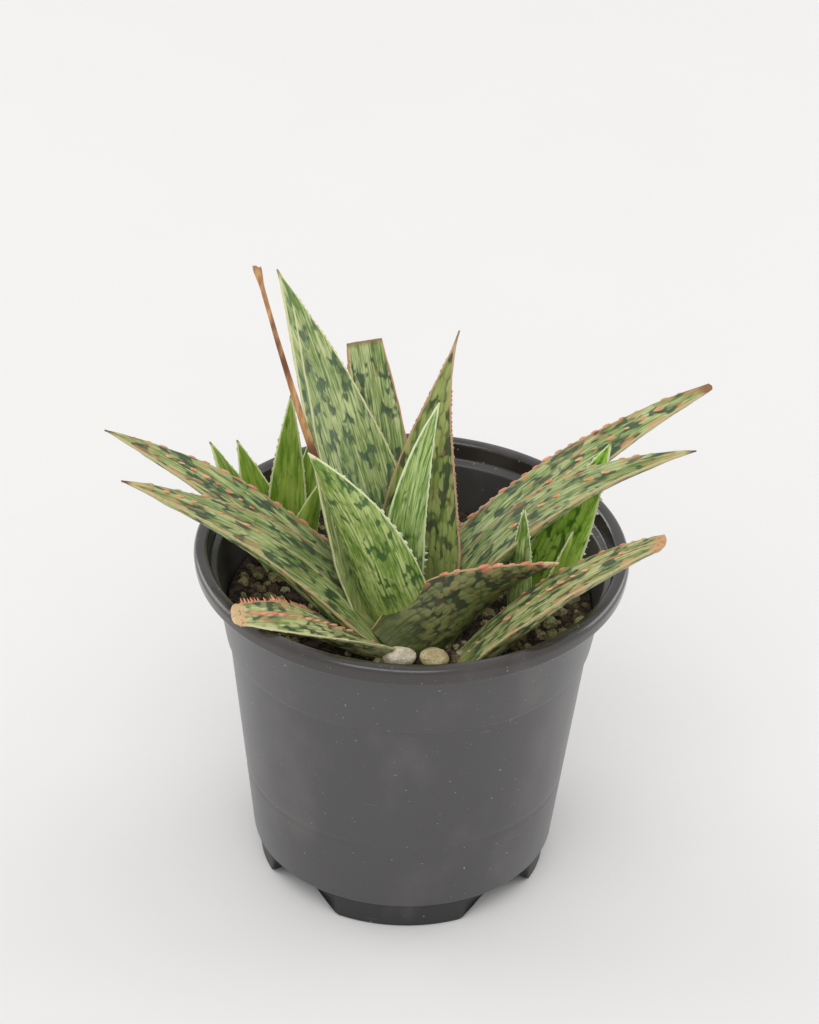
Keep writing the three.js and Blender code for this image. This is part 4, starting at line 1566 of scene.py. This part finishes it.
def leaves() -> list[Leaf]:
    """The plant's leaves, in the order of their nodes.

    Returns:
        Every leaf with its sizes, finish and teeth.
    """
    lead, trail, face = Edge.LEADING, Edge.TRAILING, Edge.FACE
    return [
        Leaf(
            "leaf_front_right", (-3, -20, 69.5), (33, -22, 97), -80, 19, 5, 0.9,
            replace(
                MATURE, net=0.6, cover=0.75, cell=(2.3, 1.5), middle=srgb(112, 120, 68),
                fresh=srgb(96, 106, 58), pale=srgb(146, 146, 98), dark=srgb(50, 58, 42),
                tip=srgb(222, 190, 152), tip_from=0.95, streaks=0.5, ovals=0.5,
                root_green=srgb(70, 82, 46), other_rim=srgb(196, 160, 120), rim_blush=0.6,
            ),
            bow=5, cut=0.05,
            fringes=[
                row(trail, CORAL, 0.42, 0.97, 3.2, 2.6, 0.5),
                row(lead, CREAM, 0.3, 0.97, 1.5, 1.0, 0.3),
            ],
        ),
        Leaf(
            "leaf_front_left", (-4, -20, 68.3), (-39.3, -39, 91.4), -145, 14.6, 4.6, 0.9,
            replace(
                MATURE, middle=srgb(164, 172, 108), fresh=srgb(142, 158, 88),
                pale=srgb(214, 212, 160), blushing=0.5, cell=(3.0, 2.0), net=0.4, cover=0.7,
                ovals=0.7, tip=srgb(208, 178, 132), tip_from=0.95, scab=srgb(158, 96, 60),
                ridge=srgb(214, 138, 104), ridge_line=0.9, rim=srgb(204, 200, 150),
                other_rim=srgb(222, 150, 120),
            ),
            bow=3, cut=0.15, turn=30, roll=-70, ridge=0.5, channel=0.05, knob=0.1,
            fringes=[
                row(trail, CORAL, 0.42, 0.95, 1.0, 1.0, 0.75, sharp=True),
                row(trail, WHITE, 0.2, 0.42, 1.6, 1.0, 0.5, sharp=True),
                row(face, CORAL, 0.15, 0.86, 2.4, 2.3, 0.3),
                row(lead, CREAM, 0.15, 0.9, 1.7, 1.0, 0.2),
            ],
        ),
        Leaf(
            "leaf_low_right", (9, -25, 66), (56, -33, 111.3), -10, 16, 5.6, 0.6,
            replace(
                MATURE, middle=srgb(150, 162, 92), fresh=srgb(122, 140, 70),
                pale=srgb(208, 210, 156), blushing=0.4, tip=srgb(200, 156, 108), tip_from=0.97,
                scab=srgb(134, 78, 46), ridge=srgb(210, 160, 112), ridge_line=0.6, rim_blush=0.7,
            ),
            bow=3.8, cut=0.1, ridge=0.5, channel=0.06, knob=0.07,
            fringes=[
                row(lead, CORAL, 0.35, 0.94, 2.9, 2.4, 0.42),
                row(face, ORANGE, 0.12, 0.88, 3.2, 2.5, 0.32),
                row(trail, TAN_GREEN, 0.15, 0.85, 1.5, 1.0, 0.3),
            ],
        ),
        Leaf(
            "leaf_front_centre", (-2, -16, 74.5), (-24, -20, 123), -105, 17, 4.5, 0.8,
            replace(
                MATURE, pale=srgb(196, 210, 138), middle=srgb(136, 160, 74),
                fresh=srgb(110, 142, 48), dark=srgb(58, 92, 44), cell=(2.9, 1.0), net=0.4,
                cover=0.5, streaks=0.85, rim=srgb(220, 226, 180), blushing=0.0,
                tip=srgb(222, 220, 178), tip_from=0.965, root_green=srgb(144, 166, 76),
            ),
            bow=2, sway=2,
            fringes=[
                row(lead, WHITE, 0.3, 0.9, 2.6, 1.4, 0.5),
                row(trail, WHITE, 0.35, 0.9, 3.0, 1.0, 0.2),
            ],
        ),
        Leaf(
            "leaf_left_lower", (-6, -14.5, 70.5), (-66.5, -14, 110), 175, 21, 7, 1,
            replace(
                MATURE, blushing=0.5, tip=srgb(96, 74, 58), tip_from=0.975,
                ridge=srgb(206, 186, 132), ridge_line=0.75, rim_blush=0.35,
            ),
            bow=6, ridge=0.5, channel=0.08,
            fringes=[
                row(trail, ORANGE, 0.5, 0.95, 3.4, 2.2, 0.25),
                row(face, ORANGE, 0.45, 0.95, 3.3, 2.3, 0.28),
                row(lead, TAN_GREEN, 0.3, 0.9, 1.7, 0.9, 0.2),
            ],
        ),
        Leaf(
            "right_pup_leaf_1", (25, -8, 72), (25, -23, 112.5), -100, 5.5, 2.5, 0.9,
            PALE_YOUNG,
            bow=1.5,
            fringes=[
                row(lead, WHITE, 0.3, 0.95, 1.6, 0.9, 0.25),
                row(trail, WHITE, 0.3, 0.95, 1.6, 0.9, 0.25),
            ],
        ),
        Leaf(
            "right_pup_leaf_2", (28.5, -4, 73), (45, 2, 115), 60, 14, 3, 0.9,
            replace(
                YOUNG, middle=srgb(160, 206, 66), fresh=srgb(130, 180, 44),
                dark=srgb(66, 108, 22), streaks=0.45, cell=(3.4, 1.3), net=0.3, bands=0.8,
                cover=0.7, pale=srgb(206, 224, 130),
            ),
            fringes=[
                row(trail, WHITE, 0.2, 0.9, 1.7, 0.9, 0.35, sharp=True),
                row(lead, WHITE, 0.2, 0.9, 2, 1, 0.2),
            ],
        ),
        Leaf(
            "leaf_right_lower", (5, -11.5, 71), (64, -6, 118.5), 1, 16, 6, 0.7,
            replace(
                MATURE, blushing=0.45, tip=srgb(90, 66, 52), tip_from=0.98, ridge_line=0.3,
                rim_blush=0.5,
            ),
            bow=9.8, ridge=0.35, channel=0.1,
            fringes=[
                row(face, ORANGE, 0.35, 0.9, 4.2, 2.8, 0.25),
                row(lead, ORANGE, 0.35, 0.9, 3.4, 2.3, 0.22),
                row(trail, TAN_GREEN, 0.3, 0.9, 1.8, 0.9, 0.18),
            ],
        ),
        Leaf(
            "leaf_centre_right", (-2, -11, 78), (5, -8, 130), 100, 10.2, 3.5, 0.85,
            replace(
                PALE_YOUNG, dark=srgb(58, 96, 44), bands=0.9, cover=0.6, tip=srgb(222, 220, 170),
            ),
            bow=1, sway=2.8,
            fringes=[
                row(trail, WHITE, 0.1, 0.36, 1.8, 1.0, 0.4, sharp=True),
                row(trail, WHITE, 0.36, 0.9, 2.6, 1.4, 0.15),
            ],
        ),
        Leaf(
            "leaf_tall", (-6, -8, 74), (-33, 17, 149), 140, 29, 6.5, 0.95,
            replace(
                MATURE, blushing=0.06, rim=srgb(214, 210, 160), tip=srgb(140, 130, 84),
                tip_from=0.985, cell=(4.0, 1.7), cover=0.7, dark=srgb(62, 88, 60),
                fold_line=0.85,
            ),
            bow=2, sway=-0.8, taper=1,
            fringes=[
                row(trail, CREAM, 0.25, 0.93, 1.5, 1.1, 0.16),
                row(lead, CREAM, 0.25, 0.93, 2.2, 1.2, 0.12),
            ],
        ),
        Leaf(
            "leaf_back_right", (2, -6, 75), (9, 4, 142), 80, 21.2, 4.5, 1,
            replace(
                MATURE, middle=srgb(146, 160, 88), fresh=srgb(128, 148, 70),
                pale=srgb(188, 192, 124), dark=srgb(60, 72, 48), net=0.75, cover=0.6,
                streaks=0.35, ovals=0.5, cell=(4.6, 1.4), rim=srgb(196, 160, 126),
                blush=srgb(164, 130, 98), blushing=0.65, tip=srgb(150, 130, 90),
            ),
            sway=2.7, taper=1.45,
            fringes=[
                row(trail, PINK_TAN, 0.08, 0.8, 1.05, 0.8, 0.24),
                row(lead, PINK_TAN, 0.2, 0.9, 1.5, 0.9, 0.14),
            ],
        ),
        Leaf(
            "leaf_left_upper", (-8, -13, 70.5), (-71.8, 4, 112.3), 165, 19.8, 5.6, 1,
            replace(MATURE, blushing=0.5, tip=srgb(116, 92, 66), tip_from=0.975, rim_blush=0.5),
            bow=6.6, ridge=0.3, channel=0.1,
            fringes=[
                row(trail, CORAL, 0.25, 0.66, 3.6, 2.8, 0.36),
                row(trail, ORANGE, 0.66, 0.92, 3.4, 2.0, 0.2),
                row(face, CORAL, 0.3, 0.9, 3.1, 2.5, 0.2),
            ],
        ),
        Leaf(
            "leaf_right_upper", (5, -5, 75.5), (68, 16, 122.5), 25, 17.3, 5.4, 1,
            replace(MATURE, blushing=0.5, tip=srgb(140, 100, 64), tip_from=0.97, rim_blush=0.6),
            bow=5.7, cut=0.06, ridge=0.3, channel=0.1,
            fringes=[
                row(lead, CORAL, 0.12, 0.7, 3.1, 2.5, 0.45),
                row(lead, ORANGE, 0.7, 0.92, 3.6, 2.0, 0.2),
                row(face, ORANGE, 0.3, 0.85, 4.2, 2.8, 0.26),
            ],
        ),
        Leaf(
            "leaf_rear_cut", (-1, -5, 73), (-13, 27, 125), 115, 14, 4.5, 0.8,
            replace(
                MATURE, blushing=0.12, rim=srgb(190, 140, 100), tip=srgb(140, 112, 76),
                tip_from=0.99, cover=0.55,
            ),
            cut=0.32,
            fringes=[
                row(trail, PINK_TAN, 0.2, 0.6, 1.9, 1.5, 0.26),
                row(lead, PINK_TAN, 0.3, 0.95, 2.6, 1.6, 0.16),
            ],
        ),
        *pup_leaves(),
    ]


def pup_leaves() -> list[Leaf]:
    """The small leaves of the left pup and the last one of the right pup.

    Returns:
        The leaves.
    """
    both = [row(edge, CREAM, 0.2, 0.95, 1.9, 0.9, 0.2) for edge in (Edge.LEADING, Edge.TRAILING)]
    rows = [
        ("left_pup_leaf_1", (-30, 13, 73), (-29.5, 18, 115), 90, 10, 3),
        ("left_pup_leaf_2", (-27, 13, 73), (-23.5, 22, 105), 60, 9, 3),
        ("left_pup_leaf_3", (-32, 13, 73), (-42, 18, 102), 128, 10.8, 3),
        ("left_pup_leaf_4", (-33, 11, 73), (-48, 12, 105), 152, 10.8, 3),
        ("left_pup_leaf_5", (-28, 10, 73), (-22, 11, 96), -75, 7.5, 2.5),
        ("right_pup_leaf_3", (30, -7, 73), (37, -8, 97), -35, 6, 2.5),
    ]
    return [Leaf(*sizes, 0.9, YOUNG, fringes=both) for sizes in rows]


def plain_slots() -> list[str]:
    """Names the nodes that no piece stands for, which should be none."""
    return [name for name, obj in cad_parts.items() if not obj.hide_render]


def main() -> None:
    """Builds the scene in order."""
    logging.basicConfig(level=logging.INFO, format="%(message)s")
    Studio().build()
    Pot().build()
    Soil().build()
    white = PumiceFinish("pumice_white", srgb(238, 228, 206), srgb(202, 188, 162))
    cream = PumiceFinish("pumice_cream", srgb(220, 204, 162), srgb(182, 166, 124))
    Pebble("pebble_white", (-2.2, -25.6), (7.6, 5.4, 4.8), 8, 3, white).build()
    Pebble("pebble_cream", (6, -25.4), (7, 5.6, 4.6), -12, 5, cream).build()
    bark = BARK.made()
    Stem("main_stem", (-1, -12), 58, 81, 8.2, 4, 7, 30).build(bark)
    Stem("left_pup_stem", (-30, 12), 62, 75.5, 4.2, 2.4, 5, 18).build(bark)
    Stem("right_pup_stem", (27.5, -6), 62, 75.5, 4.2, 2.4, 5, 18).build(bark)
    Stalk().build()
    teeth = fringe_tree()
    for leaf in leaves():
        leaf.build(teeth)
    LOG.info("nodes left plain: %s", plain_slots())


if __name__ == "__main__":
    main()
